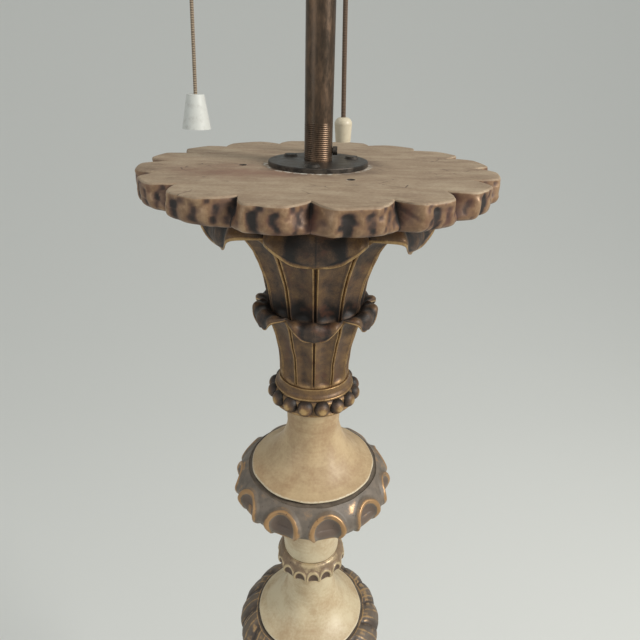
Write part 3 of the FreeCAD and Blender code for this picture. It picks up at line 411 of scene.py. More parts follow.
def make_piece(name, points, material, nodes, extra):
    """A piece from a closed grid of points, with its relief and the extra numbers stored."""
    mesh = new_mesh(name, points, grid_faces(*points.shape[:2]).tolist(), material)
    add_relief_attributes(mesh)
    for key, value in extra.items():
        store(mesh, key, value)
    add_piece(name, mesh, nodes)


def turn_about(loop, theta, push):
    """Sweeps the loop round the axis and moves each point by push along its normal."""
    normal = normals_2d(loop)
    r = loop[:, 0, None] + normal[:, 0, None] * push
    z = loop[:, 1, None] + normal[:, 1, None] * push
    r = np.maximum(r, 0.2)
    return np.stack([r * np.cos(theta), r * np.sin(theta), z + 0 * theta], axis=-1)


def turned(name, runs, columns, material, nodes, relief=None, step=0.7, uneven=0.12, seed=1):
    """A piece of the column: its outline swept round the axis, carved by relief, a little uneven."""
    loop = profile(runs, step * COARSE)
    around = columns // COARSE
    theta = (np.arange(around) / around * 2 * math.pi)[None, :]
    length = arc_length(loop)[:, None]
    push = relief(theta, loop, length) if relief else np.zeros((len(loop), theta.shape[1]))
    points = turn_about(loop, theta, push)
    shell = (loop[:, 0] > 8.0)[:, None]
    flat = 0 * points[..., 0]
    outward = np.stack([np.cos(theta) + flat, np.sin(theta) + flat, flat], axis=-1)
    points = points + (ripple(points, 26.0, uneven, seed) * shell)[..., None] * outward
    sunk = np.clip(-push / max(float(-push.min()), 1e-6), 0.0, 1.0)
    make_piece(name, points, material, nodes, {"sunk": sunk})


def bump_at(value, centre, width):
    return np.exp(-((value - centre) / width) ** 2)


def ease(value, low, high):
    t = np.clip((value - low) / (high - low), 0.0, 1.0)
    return t * t * (3.0 - 2.0 * t)


def nearest(loop, length, r, z):
    return length[np.argmin((loop[:, 0] - r) ** 2 + (loop[:, 1] - z) ** 2), 0]


def scoop_relief(count, phase, centre, width, height, depth, rim, reach, seed):
    """Thumb scoops: arched at the top, open below, each in a raised rim."""
    def relief(theta, loop, length):
        rng = np.random.default_rng(seed)
        pitch = 2 * math.pi / count
        turn = theta - math.radians(phase) + pitch / 2
        local = turn % pitch - pitch / 2
        which = (np.floor(turn / pitch).astype(int)) % count
        size = 1.0 + rng.uniform(-0.05, 0.05, count)[which]
        slip = rng.uniform(-0.6, 0.6, count)[which]
        across = (local * centre[0] + slip) / (width * size)
        up = length - nearest(loop, length, *centre)
        q = np.sqrt(across ** 2 + (np.maximum(up, 0.0) / (height * size)) ** 2)
        low = np.clip(-up / (reach * 0.62), 0.0, 1.0)
        q = np.where(up < 0, q * (1.0 + 0.22 * low ** 2), q)
        bowl = -depth * (1.0 - np.clip(q, 0, 1) ** 3.0) * (1.0 - 0.92 * low ** 1.3)
        lip = rim * bump_at(q, 1.18, 0.17) - rim * 0.5 * ease(q, 1.38, 1.6)
        fade = ease(up, -reach * 1.6, -reach * 0.8) * ease(loop[:, 0, None], 12.0, 20.0)
        return (bowl + lip) * fade
    return relief


def lobe_relief(count, phase, depth, swirl, inner_r, outer_r, low_z):
    """Gadroons: round lobes parted by narrow grooves that drift a little round the ring."""
    def relief(theta, loop, length):
        r, z = loop[:, 0, None], loop[:, 1, None]
        pitch = 2 * math.pi / count
        drift = math.radians(swirl) * (r - inner_r) / (outer_r - inner_r)
        u = ((theta - math.radians(phase) - drift) / pitch) % 1.0
        lobe = np.sqrt(np.maximum(1.0 - (2.0 * u - 1.0) ** 2 * 0.985, 0.0)) - 1.0
        veins = bump_at(u, 0.26, 0.05) + 0.8 * bump_at(u, 0.60, 0.05)
        return depth * (lobe + veins * 0.10) * ease(r, inner_r, inner_r + 5.0) * ease(z, low_z, low_z + 9.0)
    return relief


# ---------------------------------------------------------------- turned and carved pieces
BORE = 5.6         # hole up the column, round the draw rod
DRUM_NECK_R = 25.0
DRUM_STRAIGHT = 24.0
NOSE_AT = 0.56     # height of a ring's widest line, as a share of its height

# The column's turned pieces, in two stacks: how far below the disc's upper face the stack starts, and
# the heights of its pieces from there down.
STACKS = (
    (190.0, {"upper_collar": 25.0, "upper_trumpet": 77.0, "upper_ring": 46.0, "upper_neck": 63.0,
             "upper_neck_ring": 20.0, "middle_trumpet": 76.0, "middle_ring": 46.0, "middle_neck": 60.0,
             "middle_neck_ring": 20.0}),
    (960.0, {"lower_collar": 25.0, "lower_trumpet": 77.0, "lower_ring": 45.0}))


def stack_places():
    """The height of each stacked piece's lower face, and the piece's own height."""
    places = {}
    for start, heights in STACKS:
        z = TOP - start
        for name, height in heights.items():
            z -= height
            places[name] = (z, height)
    return places


PLACES = stack_places()


def trumpet(name, rim_r, material, node, seed):
    """Cream drum: narrow and straight above, flaring to a rim below."""
    z, height = PLACES[name]
    neck_r = DRUM_NECK_R
    top = z + height
    flare_top = top - DRUM_STRAIGHT
    run_r, run_z = rim_r - 1.0 - neck_r, flare_top - (z + 2.5)
    big = (run_r ** 2 + run_z ** 2) / (2.0 * run_r)
    end = math.atan2(run_z, big - run_r)
    cove = [(neck_r + big * (1 - math.cos(end * k / 12)), flare_top - big * math.sin(end * k / 12))
            for k in range(12, -1, -1)]
    runs = [[(BORE, z + 0.3), (rim_r - 3.0, z + 0.3)],
            [(rim_r - 3.0, z + 0.3), (rim_r - 1.0, z + 0.2), (rim_r, z + 1.0), (rim_r - 0.2, z + 1.9),
             cove[0]],
            cove + [(neck_r, top - 6.0)],
            [(neck_r, top - 6.0), (neck_r + 0.2, top - 3.5), (neck_r + 1.4, top - 1.0), (neck_r + 1.6, top)],
            [(neck_r + 1.6, top), (BORE, top)], [(BORE, top), (BORE, z + 0.3)]]
    turned(name, runs, 300, material, [node], uneven=0.28, seed=seed)


def ring_outline(z, height, top_r, out_r, foot_r, shoulder, recess):
    """Outline of a carved ring: a swelling nose, a shoulder and a shallow recess for the drum's rim."""
    top = z + height
    nose = z + height * NOSE_AT
    reach = out_r - top_r
    (in_1, up_1), (in_2, up_2), (in_3, down_3) = shoulder
    (lip_r, lip_down), (dip_r, dip_down) = recess
    return [[(BORE, z), (foot_r, z)],
            [(foot_r, z), (foot_r + reach * 0.65, z + height * 0.07),
             (out_r - reach * 0.85, z + height * 0.20), (out_r - reach * 0.22, z + height * 0.36),
             (out_r, nose), (out_r - reach * in_1, nose + height * up_1),
             (out_r - reach * in_2, nose + height * up_2), (out_r - reach * in_3, top - height * down_3),
             (top_r + lip_r, top - lip_down)],
            [(top_r + lip_r, top - lip_down), (top_r + dip_r, top - dip_down), (top_r - 1.5, top - 1.0)],
            [(top_r - 1.5, top - 1.0), (BORE, top - 1.0)], [(BORE, top - 1.0), (BORE, z)]]


def scooped_ring(name, top_r, out_r, foot_r, material, node, count, phase, seed):
    """Ring with thumb scoops round its nose."""
    z, height = PLACES[name]
    runs = ring_outline(z, height, top_r, out_r, foot_r, ((0.16, 0.16), (0.40, 0.29), (0.64, 0.05)),
                        ((3.6, 0.4), (2.8, 0.9)))
    centre = (out_r - (out_r - top_r) * 0.02, z + height * NOSE_AT + height * 0.01)
    half_width = math.pi * out_r / count * 0.56
    depth = 6.6 * (out_r / 77.0)      # 6.6 mm on the upper ring, whose radius is 77 mm
    relief = scoop_relief(count, phase, centre, half_width, height * 0.29, depth, 1.7, height * 0.36, seed)
    turned(name, runs, count * 48, material, [node], relief, step=0.6, uneven=0.35, seed=seed)


def lobed_ring(name, top_r, out_r, foot_r, material, node, count, phase, seed):
    """Ring of gadroons."""
    z, height = PLACES[name]
    runs = ring_outline(z, height, top_r, out_r, foot_r, ((0.12, 0.17), (0.36, 0.31), (0.62, 0.03)),
                        ((3.2, 0.2), (1.4, 0.8)))
    relief = lobe_relief(count, phase, 2.7, 9.0, top_r + 1.0, out_r, z + height * 0.16)
    turned(name, runs, count * 32, material, [node], relief, step=0.7, uneven=0.45, seed=seed)


def neck_ring(name, material, node, seed):
    """Small ring of arched nicks round a neck."""
    z, height = PLACES[name]
    top = z + height
    runs = [[(BORE, z), (33.4, z)],
            [(33.4, z), (35.0, z + 1.6), (35.7, z + 5.0), (35.2, z + 9.0), (33.6, z + 13.5)],
            [(33.6, z + 13.5), (32.8, z + 15.4), (31.0, z + 18.6), (29.0, top)],
            [(29.0, top), (BORE, top)], [(BORE, top), (BORE, z)]]
    relief = scoop_relief(16, -84.8, (35.6, z + 4.2), 5.6, 7.2, 2.3, 0.7, 11.0, seed)
    turned(name, runs, 480, material, [node], relief, step=0.45, uneven=0.3, seed=seed)


def neck(name, material, node, seed):
    """Plain cream neck, hardly waisted."""
    z, height = PLACES[name]
    top = z + height
    runs = [[(BORE, z), (28.4, z)],
            [(28.4, z), (28.6, z + 3.0), (28.4, z + height * 0.5), (28.7, top - 2.0), (28.6, top)],
            [(28.6, top), (BORE, top)], [(BORE, top), (BORE, z)]]
    turned(name, runs, 192, material, [node], step=1.2, uneven=0.15, seed=seed)


BEADS = 16
BEAD_R = 7.3
BEAD_ROW = (36.0, 8.3)      # radius and height of the beads' centres in the collar


def beads(z, seed):
    """The points and faces of round beads, each a little uneven."""
    rng = np.random.default_rng(seed)
    rows, columns = 18 // COARSE, 26 // COARSE
    lat = np.linspace(0, math.pi, rows + 2)[1:-1, None]
    lon = np.linspace(0, 2 * math.pi, columns, endpoint=False)[None, :]
    unit = np.stack([np.sin(lat) * np.cos(lon), np.sin(lat) * np.sin(lon), np.cos(lat) + 0 * lon], -1)
    unit = np.vstack([unit.reshape(-1, 3), [[0, 0, 1], [0, 0, -1]]])
    side = grid_faces(rows, columns)[:(rows - 1) * columns, ::-1]
    pairs = [(i, (i + 1) % columns) for i in range(columns)]
    points, faces = [], []
    for k in range(BEADS):
        azimuth = math.radians(-90.0 + 360.0 / BEADS * (k + 0.5) + rng.uniform(-0.7, 0.7))
        size = BEAD_R * np.array([1.0, 1.0 + rng.uniform(-0.04, 0.03), 1.0 + rng.uniform(-0.04, 0.04)])
        ball = unit * (1.0 + ripple(unit, 1.6, 0.02, seed + k)[:, None]) * size
        c, s = math.cos(azimuth), math.sin(azimuth)
        ball = np.stack([ball[:, 0] * c - ball[:, 1] * s, ball[:, 0] * s + ball[:, 1] * c, ball[:, 2]], -1)
        points.append(ball + [BEAD_ROW[0] * c, BEAD_ROW[0] * s, z + BEAD_ROW[1] + rng.uniform(-0.3, 0.3)])
        start = k * len(unit)
        last = start + (rows - 1) * columns
        north, south = last + columns, last + columns + 1
        faces += (side + start).tolist()
        faces += [[north, start + i, start + on] for i, on in pairs]
        faces += [[south, last + on, last + i] for i, on in pairs]
    return np.vstack(points), faces


def bead_collar(name, material, node, seed):
    """Collar with a row of beads round its foot."""
    z, height = PLACES[name]
    top = z + height
    runs = [[(BORE, z), (27.5, z)],
            [(27.5, z), (35.8, z + 0.2), (38.4, z + 1.0), (38.8, z + 2.2), (38.0, z + 3.4), (37.2, z + 5.0),
             (37.4, z + 9.0), (36.8, z + 12.5), (35.2, z + 14.4)],
            [(35.2, z + 14.4), (36.0, z + 15.4), (35.9, z + 16.6), (34.6, z + 17.6), (33.4, z + 19.0),
             (32.7, z + 21.8), (32.4, top)],
            [(32.4, top), (BORE, top)], [(BORE, top), (BORE, z)]]
    turned(name, runs, 288, material, [node], step=0.5, uneven=0.2, seed=seed)
    points, faces = beads(z, seed)
    mesh = new_mesh(name + "_beads", points, faces, material)
    out = np.hypot(points[:, 0], points[:, 1])
    # Worn gold on the beads' outer faces; towards the collar they darken, with grime and painted shade where
    # the beads meet it.
    store(mesh, "fine", ease(out, 42.0, 43.2) * 2.6 - 0.7)
    store(mesh, "broad", ease(out, 37.0, 43.0) * 1.2 - 0.8)
    store(mesh, "grime_and_shade", ease(-out, -42.4, -39.0) * 0.45)
    add_piece(name + "_beads", mesh)


# ---------------------------------------------------------------- leaf tiers
LEAVES = 6
CUP_DROP = 770.0                         # how far below the capital's lower tier the leaf cup repeats it
HALF = 180.0 / LEAVES                    # half of one leaf's share of the circle, degrees
KEY_ANGLES = (0.0, 11.0, 20.0, 30.0)     # midrib, shoulder, lobe, valley
# Angles from the midrib at which a leaf is worked out, closest together at its ribs and its edge.
HALF_STOPS = np.array([0, .4, .8, 1.2, 1.6, 2.0, 2.4, 2.8, 3.3, 3.9, 4.6, 5.5, 6.6, 8, 9.5, 11, 12.5, 14,
                       15.5, 17, 18.5, 20, 21.5, 23, 24.3, 25.4, 26.3, 26.9, 27.4, 27.8, 28.2, 28.6, 29.0,
                       29.35, 29.65, 29.85])


def between(angle, sets):
    """Blends the sets of profile points that are given at the key angles, smoothly in between."""
    k = min(int(np.searchsorted(KEY_ANGLES, angle, side="right")) - 1, len(KEY_ANGLES) - 2)
    gaps = range(len(KEY_ANGLES) - 1)
    slopes = [(sets[j + 1] - sets[j]) / (KEY_ANGLES[j + 1] - KEY_ANGLES[j]) for j in gaps]
    span = KEY_ANGLES[k + 1] - KEY_ANGLES[k]
    start = slopes[0] if k == 0 else (slopes[k - 1] + slopes[k]) / 2
    end = slopes[-1] * 1.4 if k == len(slopes) - 1 else (slopes[k] + slopes[k + 1]) / 2
    t = (angle - KEY_ANGLES[k]) / span
    return ((2 * t**3 - 3 * t**2 + 1) * sets[k] + (t**3 - 2 * t**2 + t) * span * start
            + (-2 * t**3 + 3 * t**2) * sets[k + 1] + (t**3 - t**2) * span * end)


def leaf_tier(name, base, rise, keys, material, node, depth, shadow, seed):
    """Six leaves round a core: channelled outside, curled over into lobed lips with a point."""
    under, over, core = [np.array(keys[k], float) for k in ("under", "over", "core")]
    angles = HALF_STOPS if COARSE == 1 else HALF_STOPS[::2]
    angles = np.concatenate([-angles[::-1], angles[1:]])
    outer_rows, back_rows = 90 // COARSE, 64 // COARSE
    loops = []
    for angle in np.abs(angles):
        low = between(angle, under)
        high = between(angle, over)
        outer = resample(smooth_run(np.vstack([np.array(base, float), low]), 0.5), outer_rows)
        back = resample(smooth_run(high, 0.5), back_rows)
        inner = resample(np.vstack([high[-1:], core]), 12)
        loops.append(np.vstack([outer, back, inner[1:]]))
    loops = np.stack(loops, axis=1)                       # rows, columns, (r, z)
    index = np.arange(loops.shape[0])[:, None]
    tangent = np.roll(loops, -1, axis=0) - np.roll(loops, 1, axis=0)
    tangent /= np.maximum(np.linalg.norm(tangent, axis=2), 1e-9)[..., None]
    normal = np.stack([tangent[..., 1], -tangent[..., 0]], axis=-1)
    a = np.abs(angles)[None, :]
    row = index / outer_rows
    front = np.clip(1.0 - (row - 0.86) / 0.12, 0, 1) * (row < 1.0) * ease(row, 0.0, 0.07)
    channel = np.sin(np.clip((a - 3.6) / (27.2 - 3.6), 0, 1) * math.pi) ** 0.9
    ribs = (0.9 * bump_at(a, 2.3, 0.75) - 1.6 * bump_at(a, 0.0, 0.75) + 0.9 * bump_at(a, 28.0, 0.8)
            - 2.6 * bump_at(a, 30.0, 0.55))
    push = (ribs * depth / 3.0 - depth * channel) * front
    back_part = np.clip((index - outer_rows) / back_rows, 0, 1)
    lip = ease(back_part, 0.0, 0.06) * (1 - ease(back_part, 0.55, 0.95)) * (index >= outer_rows)
    fold = 1.5 * bump_at(a, 0.0, 3.4) - 1.7 * bump_at(a, 11.0, 5.0) - 0.9 * bump_at(a, 24.0, 4.0)
    push = push + lip * fold * depth / 3.2
    r = loops[..., 0] + normal[..., 0] * push
    z = loops[..., 1] + normal[..., 1] * push
    points = []
    rng = np.random.default_rng(seed)
    middle = 1 - (a / HALF) ** 2
    for k in range(LEAVES):
        phase = -90.0 + 2.0 * HALF * k
        grow = 1.0 + rng.uniform(-0.012, 0.012)
        lean = rng.uniform(-0.8, 0.8)
        turn = np.radians(phase + angles + lean * middle)
        out = r * (1.0 + (grow - 1.0) * ease(row, 0.5, 1.0) * middle)
        points.append(np.stack([out * np.cos(turn), out * np.sin(turn), z + 0 * out], -1))
    points = np.concatenate(points, axis=1)
    outside = (np.hypot(points[..., 0], points[..., 1]) > 20.0)[..., None]
    sway = ripple(points, 17.0, 0.22, seed)[..., None]
    away = points * [1, 1, 0] / np.maximum(np.hypot(points[..., 0], points[..., 1]), 1.0)[..., None]
    points = points + away * sway * outside
    # Darker low down on the tier and on the faces that curl back over the leaves: painted shade under the
    # disc and round the tier's base, with some dark patina.
    grime_and_shade = 1.0 - ease(points[..., 2], *shadow)
    grime_and_shade = np.maximum(grime_and_shade, 0.75 * (index > outer_rows + 2) * np.ones_like(grime_and_shade))
    points[..., 2] += rise
    make_piece(name, points, material, [node], {"grime_and_shade": grime_and_shade})


def resample(line, count):
    length = arc_length(line)
    at = np.linspace(0, length[-1], count)
    return np.stack([np.interp(at, length, line[:, 0]), np.interp(at, length, line[:, 1])], axis=1)


# Heights in these tables are measured from the disc's upper face.
UPPER_BASE = [(40.0, -124), (41.5, -113), (43.0, -103), (46.0, -90), (51.0, -77), (57.5, -62)]
UPPER_LEAF = {
    "under": [[(66, -51.5), (74, -48), (79.5, -49), (82.8, -52.4), (84.4, -57.2)],
              [(66, -51.5), (76, -46.4), (83.5, -46), (88, -49), (90.2, -53.2)],
              [(66, -51.5), (76, -45), (85, -41), (91, -40), (94.6, -42.4)],
              [(62, -55), (65, -51.5), (67.5, -48.5), (70.0, -45.8), (72.2, -43.4)]],
    "over": [[(85.3, -57.1), (87.4, -51), (87.6, -42), (84, -33), (77.5, -26), (68, -21.5), (56, -19.4)],
             [(91.1, -53.1), (92.6, -48), (91.4, -41), (87, -33), (80, -26.5), (69, -21.5), (56, -19.4)],
             [(95.4, -42.0), (95.6, -39), (92.8, -34.6), (87.8, -29.5), (80.5, -25.5), (70, -21.5),
              (56, -19.4)],
             [(73, -42.8), (73.8, -40), (73.4, -36), (71.5, -31), (68, -26), (63, -22), (56, -19.4)]],
    "core": [(BORE, -19.4), (BORE, -124)],
}
LOWER_BASE = [(31.0, -190), (31.3, -176), (33.0, -161), (36.8, -146), (40.0, -135)]
LOWER_LEAF = {
    "under": [[(44.0, -127.5), (47.6, -125.2), (49.6, -128.5), (50.8, -133.6)],
              [(44.8, -127), (49.0, -124.4), (51.8, -126.4), (53.2, -131.0)],
              [(44.6, -126), (48.6, -121.6), (51.8, -120.4), (54.2, -122.6)],
              [(41.2, -127), (42.4, -123.5), (43.8, -121.0), (45.2, -119.0)]],
    "over": [[(51.6, -133.4), (53.6, -127.5), (53.0, -121.0), (50.0, -117.8), (45.5, -118.2), (41, -121.6)],
             [(54.0, -130.6), (55.4, -125.4), (54.0, -119.6), (50.4, -117.2), (46.0, -118.0), (41, -121.6)],
             [(55.0, -121.8), (55.2, -119.0), (53.0, -116.6), (49.2, -116.4), (45.0, -118.2), (41, -121.6)],
             [(45.8, -118.4), (46.0, -117.4), (45.4, -117.0), (44.4, -117.8), (42.8, -119.4), (41, -121.0)]],
    "core": [(39.2, -121.2), (BORE, -121.2), (BORE, -190)],
}


# ---------------------------------------------------------------- drip disc
NOTCHES = (-138.1, -112.9, -91.2, -67.3, -46.0, -23.1, -0.6, 22.0, 44.2, 66.8, 88.0, 109.2, 134.7, 156.9,
           178.6, 200.8)                 # angles of the notches between the lobes, degrees
DISC_THICK = 19.0
RIM = [(100.0, 0.0), (118.0, 0.0), (130.0, 0.0), (136.4, -0.02), (138.6, -0.25), (139.3, -1.0),
       (139.6, -2.4), (139.9, -5.0), (140.1, -8.5), (140.0, -12.0), (139.6, -14.6), (138.6, -16.8),
       (136.4, -18.4), (133.5, -DISC_THICK), (124.0, -DISC_THICK), (100.0, -DISC_THICK)]
HOLES = ((-58.6, -9.0), (23.7, -58.7))   # two small holes in the disc's face
HOLE_DEPTH = 4.5


def lobe_grid(notches, per):
    """Angles round the disc, closest together at the notches, each with its part of its lobe and its lobe."""
    even = np.linspace(0, 1, per, endpoint=False)
    part = (1 - np.cos(np.linspace(0, math.pi, per, endpoint=False))) / 2 * 0.6 + even * 0.4
    widths = np.append(notches[1:], notches[0] + 360.0) - notches
    theta = [np.radians(start + width * part) for start, width in zip(notches, widths)]
    lobe = np.repeat(np.arange(len(notches)), per)
    return np.concatenate(theta), np.tile(part, len(notches)), lobe


def drip_disc(material):
    """Sixteen uneven lobes parted by notches, their sides carved in flutes and facets."""
    rng = np.random.default_rng(11)
    theta, part, which = lobe_grid(np.sort(np.array(NOTCHES) % 360.0), 44 // COARSE)
    deep = rng.uniform(121.0, 126.5, 16)
    crown = (140.7 + rng.uniform(-1.0, 0.4, 16))[which]
    side = smooth_run(RIM, 0.7 * COARSE)
    inner = np.concatenate([np.linspace(14.0, 55.0, 16), np.arange(56.0, 66.6, 0.45 * COARSE),
                            np.linspace(68.0, 99.0, 14)])
    top = np.stack([inner, 0 * inner], 1)
    bottom = np.stack([np.linspace(99.0, 14.0, 24 // COARSE), np.full(24 // COARSE, -DISC_THICK)], 1)
    loop = np.vstack([top, side, bottom])[::-1]
    r, z = loop[:, 0, None], loop[:, 1, None]
    floor = deep[which] * (1 - part) + deep[(which + 1) % 16] * part
    floor = floor + (133.0 - floor) * ease(-z, 4.0, 18.0)
    wall = np.minimum(np.minimum(part / 0.25, (1.0 - part) / 0.33), 1.0)
    swell = 1.0 - (1.0 - wall) ** 1.55
    outline = floor + (crown - 1.3 * (2 * part - 1) ** 2 - floor) * swell
    blend = ease(r, 96.0, 134.0)
    radius = r * (1.0 + (outline / 140.0 - 1.0) * blend)
    flute_at = rng.uniform(0.32, 0.44, 16)[which]
    facet_at = rng.uniform(0.62, 0.74, 16)[which]
    flute_in = rng.uniform(1.2, 3.0, 16)[which]
    level = ease(r, 131.0, 138.5) * ease(-z, 1.5, 6.5)
    carve = (-flute_in * bump_at(part, flute_at, 0.085) - 1.3 * bump_at(part, facet_at, 0.10)
             + 0.6 * bump_at(part, 0.22, 0.05) - 0.7 * bump_at(part, 0.84, 0.05)) * level
    radius = radius + carve
    points = np.stack([radius * np.cos(theta), radius * np.sin(theta), z + 0 * radius], -1)
    edge = ease(r, 128.0, 139.0) * np.ones_like(radius)
    warp = ripple(points, 34.0, 0.35, 5)
    points[..., 2] += warp * ease(r, 70.0, 120.0) * 0.5
    points[..., 2] = np.minimum(points[..., 2], 0.15)
    chip = np.maximum(ripple(points, 9.0, 0.45, 8), 0.0) * edge
    points[..., 0] -= chip * np.cos(theta)
    points[..., 1] -= chip * np.sin(theta)
    near = np.min([np.hypot(points[..., 0] - x, points[..., 1] - y) for x, y in HOLES], axis=0)
    upper = z > -1.0
    hole = ease(-near, -5.0, -1.6) * upper
    points[..., 2] -= HOLE_DEPTH * ease(-near, -2.5, -1.4) * upper - 0.25 * bump_at(near, 3.0, 0.6) * upper
    points[..., 2] += TOP
    zone = np.clip(ease(-z, 0.0, 2.4) + 0 * radius, 0, 1) * ease(radius, 116.0, 122.0)
    make_piece("disc", points, material, ["drip_disc"], {"zone": zone, "hole": hole})


# ---------------------------------------------------------------- stem tube
TUBE_R, TUBE_BORE, TUBE_LONG = 11.0, 9.5, 328.0
THREAD_PITCH, THREAD_DEPTH = 1.5, 0.32


def threaded_tube(material):
    """The stem tube, with the thread that stands open above the flange."""
    up = np.concatenate([np.arange(0.0, 4.0, 1.0), np.arange(4.0, 34.0, 0.25 * COARSE),
                         np.linspace(35.0, TUBE_LONG, 14)])
    outside = np.stack([np.full(len(up), TUBE_R), up + TOP], 1)
    loop = np.vstack([outside, [[TUBE_BORE, TOP + TUBE_LONG], [TUBE_BORE, TOP]]])
    theta = (np.arange(96) / 96 * 2 * math.pi)[None, :]
    height = loop[:, 1, None]
    turns = (height - TOP) / THREAD_PITCH + theta / (2 * math.pi)
    crest = THREAD_DEPTH * (np.abs(2.0 * (turns % 1.0) - 1.0) - 0.5)
    cut = ease(height, TOP + 4.0, TOP + 6.0) * ease(-height, -TOP - 33.5, -TOP - 31.0)
    points = turn_about(loop, theta, crest * cut * (loop[:, 0, None] > 10.0))
    make_piece("threaded_tube", points, material, ["stem_tube"], {})


# ---------------------------------------------------------------- pull cords and pulls
CORDS = {
    "left": ([(-0.07971, -0.05097, 1.6892), (-0.0800, -0.0510, 1.5570), (-0.0809, -0.0510, 1.4350),
              (-0.08307, -0.0510, 1.3461)], 0.0024, 0.3431),
    "right": ([(0.01771, 0.05097, 1.6892), (0.0179, 0.0510, 1.5570), (0.0186, 0.0510, 1.4350),
               (0.02066, 0.0510, 1.3240)], 0.0040, 0.3652),
}


def pull_cord(side, material):
    """A pull cord as a curve along its route, in place of the CAD cord."""
    route, thick, length = CORDS[side]
    curve = bpy.data.curves.new(side + "_pull_cord", "CURVE")
    curve.dimensions = "3D"
    spline = curve.splines.new("NURBS")
    spline.points.add(len(route) - 1)
    for point, place in zip(spline.points, route):
        point.co = (*place, 1.0)
    spline.order_u = 3
    spline.use_endpoint_u = True
    curve.resolution_u = 24
    curve.bevel_depth = thick / 2.0
    curve.bevel_resolution = 4
    curve.use_fill_caps = True
    curve.materials.append(material)
    piece = bpy.data.objects.new(side + "_pull_cord", curve)
    bpy.context.scene.collection.objects.link(piece)
    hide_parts(side + "_cord")
    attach(piece, side + "_pull_body")


# ---------------------------------------------------------------- surroundings and lights
def surroundings():
    """A pale floor that curves up far behind the lamp."""
    s = Shade("studio_floor")
    tone = s.mix(s.noise(0.25, 1.0), (0.715, 0.728, 0.700), (0.725, 0.738, 0.710))
    s.set(Base_Color=tone, Roughness=0.95)
    s.bsdf.inputs["Specular IOR Level"].default_value = 0.0
    size, start, bend, high = 14.0, 1.5, 6.5, 14.0
    line = [(-size, 0.0), (start, 0.0)]
    line += [(start + bend * math.sin(math.radians(a)), bend - bend * math.cos(math.radians(a)))
             for a in range(5, 91, 5)]
    line += [(start + bend, high)]
    verts = [(x, y, z) for y, z in line for x in (-size, size)]
    faces = [(2 * k, 2 * k + 1, 2 * k + 3, 2 * k + 2) for k in range(len(line) - 1)]
    mesh = bpy.data.meshes.new("studio_floor")
    mesh.from_pydata(verts, [], faces)
    mesh.materials.append(s.material)
    for polygon in mesh.polygons:
        polygon.use_smooth = True
    floor = bpy.data.objects.new("studio_floor", mesh)
    bpy.context.scene.collection.objects.link(floor)


def soft_light(name, place, target, size, watts, colour):
    """A round area light at a place, turned to its target."""
    data = bpy.data.lights.new(name, "AREA")
    data.shape = "DISK"
    data.size = size
    data.energy = watts
    data.color = colour
    light = bpy.data.objects.new(name, data)
    light.location = place
    way = Vector(target) - Vector(place)
    light.rotation_euler = way.to_track_quat("-Z", "Y").to_euler()
    bpy.context.scene.collection.objects.link(light)


def lights():
    soft_light("key", (1.8, -0.9, 2.3), (0.0, 0.0, 1.2), 0.9, 50.0, (1.0, 0.97, 0.93))
    soft_light("fill", (-1.9, -1.5, 1.7), (0.0, 0.0, 1.1), 1.6, 7.0, (0.94, 0.97, 1.0))
    world = bpy.data.worlds.new("studio")
    world.use_nodes = True
    background = world.node_tree.nodes["Background"]
    background.inputs["Color"].default_value = (0.86, 0.87, 0.86, 1.0)
    background.inputs["Strength"].default_value = 0.68
    bpy.context.scene.world = world
    bpy.context.scene.view_settings.view_transform = "Standard"


# ---------------------------------------------------------------- the scene
place_camera()
cord_finish = {"left": twisted("cord_tan", (0.10, 0.07, 0.045), (0.34, 0.27, 0.19), 0.0045),
               "right": twisted("cord_brown", (0.045, 0.028, 0.018), (0.17, 0.11, 0.07), 0.0038)}
for which_side in ("left", "right"):
    pull_cord(which_side, cord_finish[which_side])

gold = gilt("worn_gilding")
gold_ring = ring_finish("taupe_and_gold", (0.158, 0.130, 0.100), (0.120, 0.084, 0.062),
                        (0.40, 0.235, 0.105), -0.06)
lobe_ring = ring_finish("umber_and_gold", (0.120, 0.094, 0.072), (0.060, 0.042, 0.030),
                        (0.42, 0.27, 0.13), -0.12)
nick_ring = ring_finish("umber_and_cream", (0.235, 0.160, 0.092), (0.085, 0.050, 0.032),
                        (0.56, 0.44, 0.26), 0.02)
paint = cream("cream_glazed", (0.50, 0.375, 0.215), (0.31, 0.195, 0.100))
pale_paint = cream("cream_paint", (0.58, 0.49, 0.32), (0.38, 0.26, 0.14))
drip_disc(disc_finish("disc_paint"))
leaf_tier("upper_leaves", UPPER_BASE, TOP, UPPER_LEAF, gold, "capital_upper", 4.0, (-117.0, -96.0), 21)
leaf_tier("lower_leaves", LOWER_BASE, TOP, LOWER_LEAF, gold, "capital_lower", 2.8, (-196.0, -184.0), 22)
bead_collar("upper_collar", gold, "bead_collar_upper", 31)
trumpet("upper_trumpet", 60.0, paint, "trumpet_upper", 41)
scooped_ring("upper_ring", 60.0, 77.0, 30.6, gold_ring, "scalloped_ring_upper", 11, -77.9, 51)
neck("upper_neck", pale_paint, "neck_upper", 61)
neck_ring("upper_neck_ring", nick_ring, "neck_ring_upper", 71)
trumpet("middle_trumpet", 57.3, pale_paint, "trumpet_middle", 42)
lobed_ring("middle_ring", 57.3, 79.0, 30.6, lobe_ring, "lobed_ring_middle", 16, 2.4, 52)
neck("middle_neck", pale_paint, "neck_middle", 62)
neck_ring("middle_neck_ring", nick_ring, "neck_ring_middle", 72)
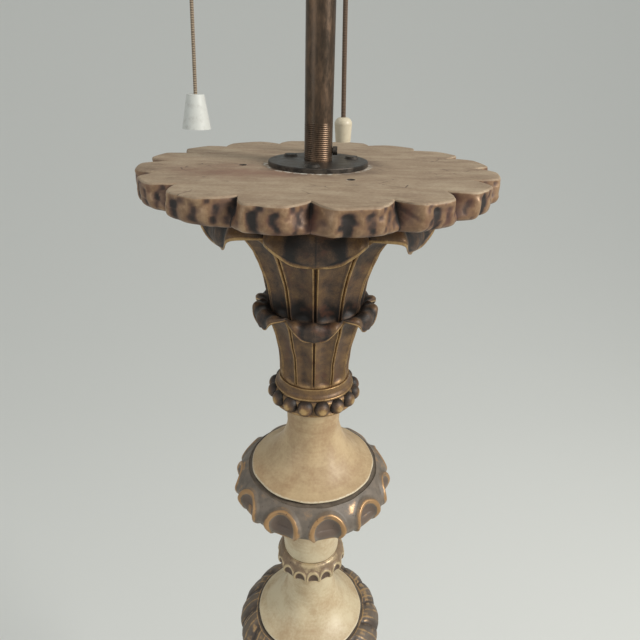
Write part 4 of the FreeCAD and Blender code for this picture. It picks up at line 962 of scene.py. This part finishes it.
leaf_tier("cup_leaves", LOWER_BASE, TOP - CUP_DROP, LOWER_LEAF, gold, "leaf_cup", 2.8, (-196.0, -184.0), 23)
bead_collar("lower_collar", gold, "bead_collar_lower", 32)
trumpet("lower_trumpet", 72.0, paint, "trumpet_lower", 43)
scooped_ring("lower_ring", 72.0, 93.0, 40.0, gold_ring, "scalloped_ring_lower", 12, 0.0, 53)

finishes = {
    "gilt_wood": gold, "cream_paint": paint,
    "dark_wood": timber("dark_timber", (0.030, 0.017, 0.010), (0.085, 0.048, 0.026)),
    "cast_iron": old_metal("cast_iron", (0.02, 0.02, 0.02), (0.07, 0.06, 0.05), 0.4, 0.7),
    "dark_steel": old_metal("dark_bronze", (0.030, 0.027, 0.024), (0.095, 0.080, 0.066), 0.75, 0.42, 120.0),
    "stem_metal": old_metal("tube_patina", (0.068, 0.050, 0.036), (0.172, 0.110, 0.070), 0.9, 0.34, 70.0,
                            (1.0, 1.0, 0.35)),
    "bright_steel": old_metal("zinc", (0.32, 0.32, 0.33), (0.55, 0.55, 0.56), 1.0, 0.35),
    "black_plastic": moulded("black_bush", (0.020, 0.020, 0.020), (0.05, 0.05, 0.05), 0.5),
    "brown_plastic": moulded("brown_case", (0.050, 0.026, 0.016), (0.10, 0.055, 0.035), 0.28),
    "porcelain": moulded("porcelain", (0.76, 0.75, 0.70), (0.62, 0.59, 0.52), 0.2),
    "pull_cord": cord_finish["left"],
    "white_plastic": moulded("white_pull", (0.54, 0.555, 0.52), (0.30, 0.29, 0.26), 0.42, 0.55),
    "ivory_plastic": moulded("ivory_pull", (0.58, 0.52, 0.385), (0.38, 0.31, 0.20), 0.32, 0.5),
    "brass": old_metal("aged_brass", (0.15, 0.10, 0.045), (0.42, 0.29, 0.12), 0.95, 0.34, 110.0),
}
threaded_tube(finishes["stem_metal"])
slots = {part["node"]: part["material_slot"] for part in frame["record"]["subparts"]}
slots["flange_screws"] = "dark_steel"
for node_name, node_object in frame["nodes"].items():
    node_object.data.materials.clear()
    node_object.data.materials.append(finishes.get(slots[node_name], gold))

surroundings()
lights()
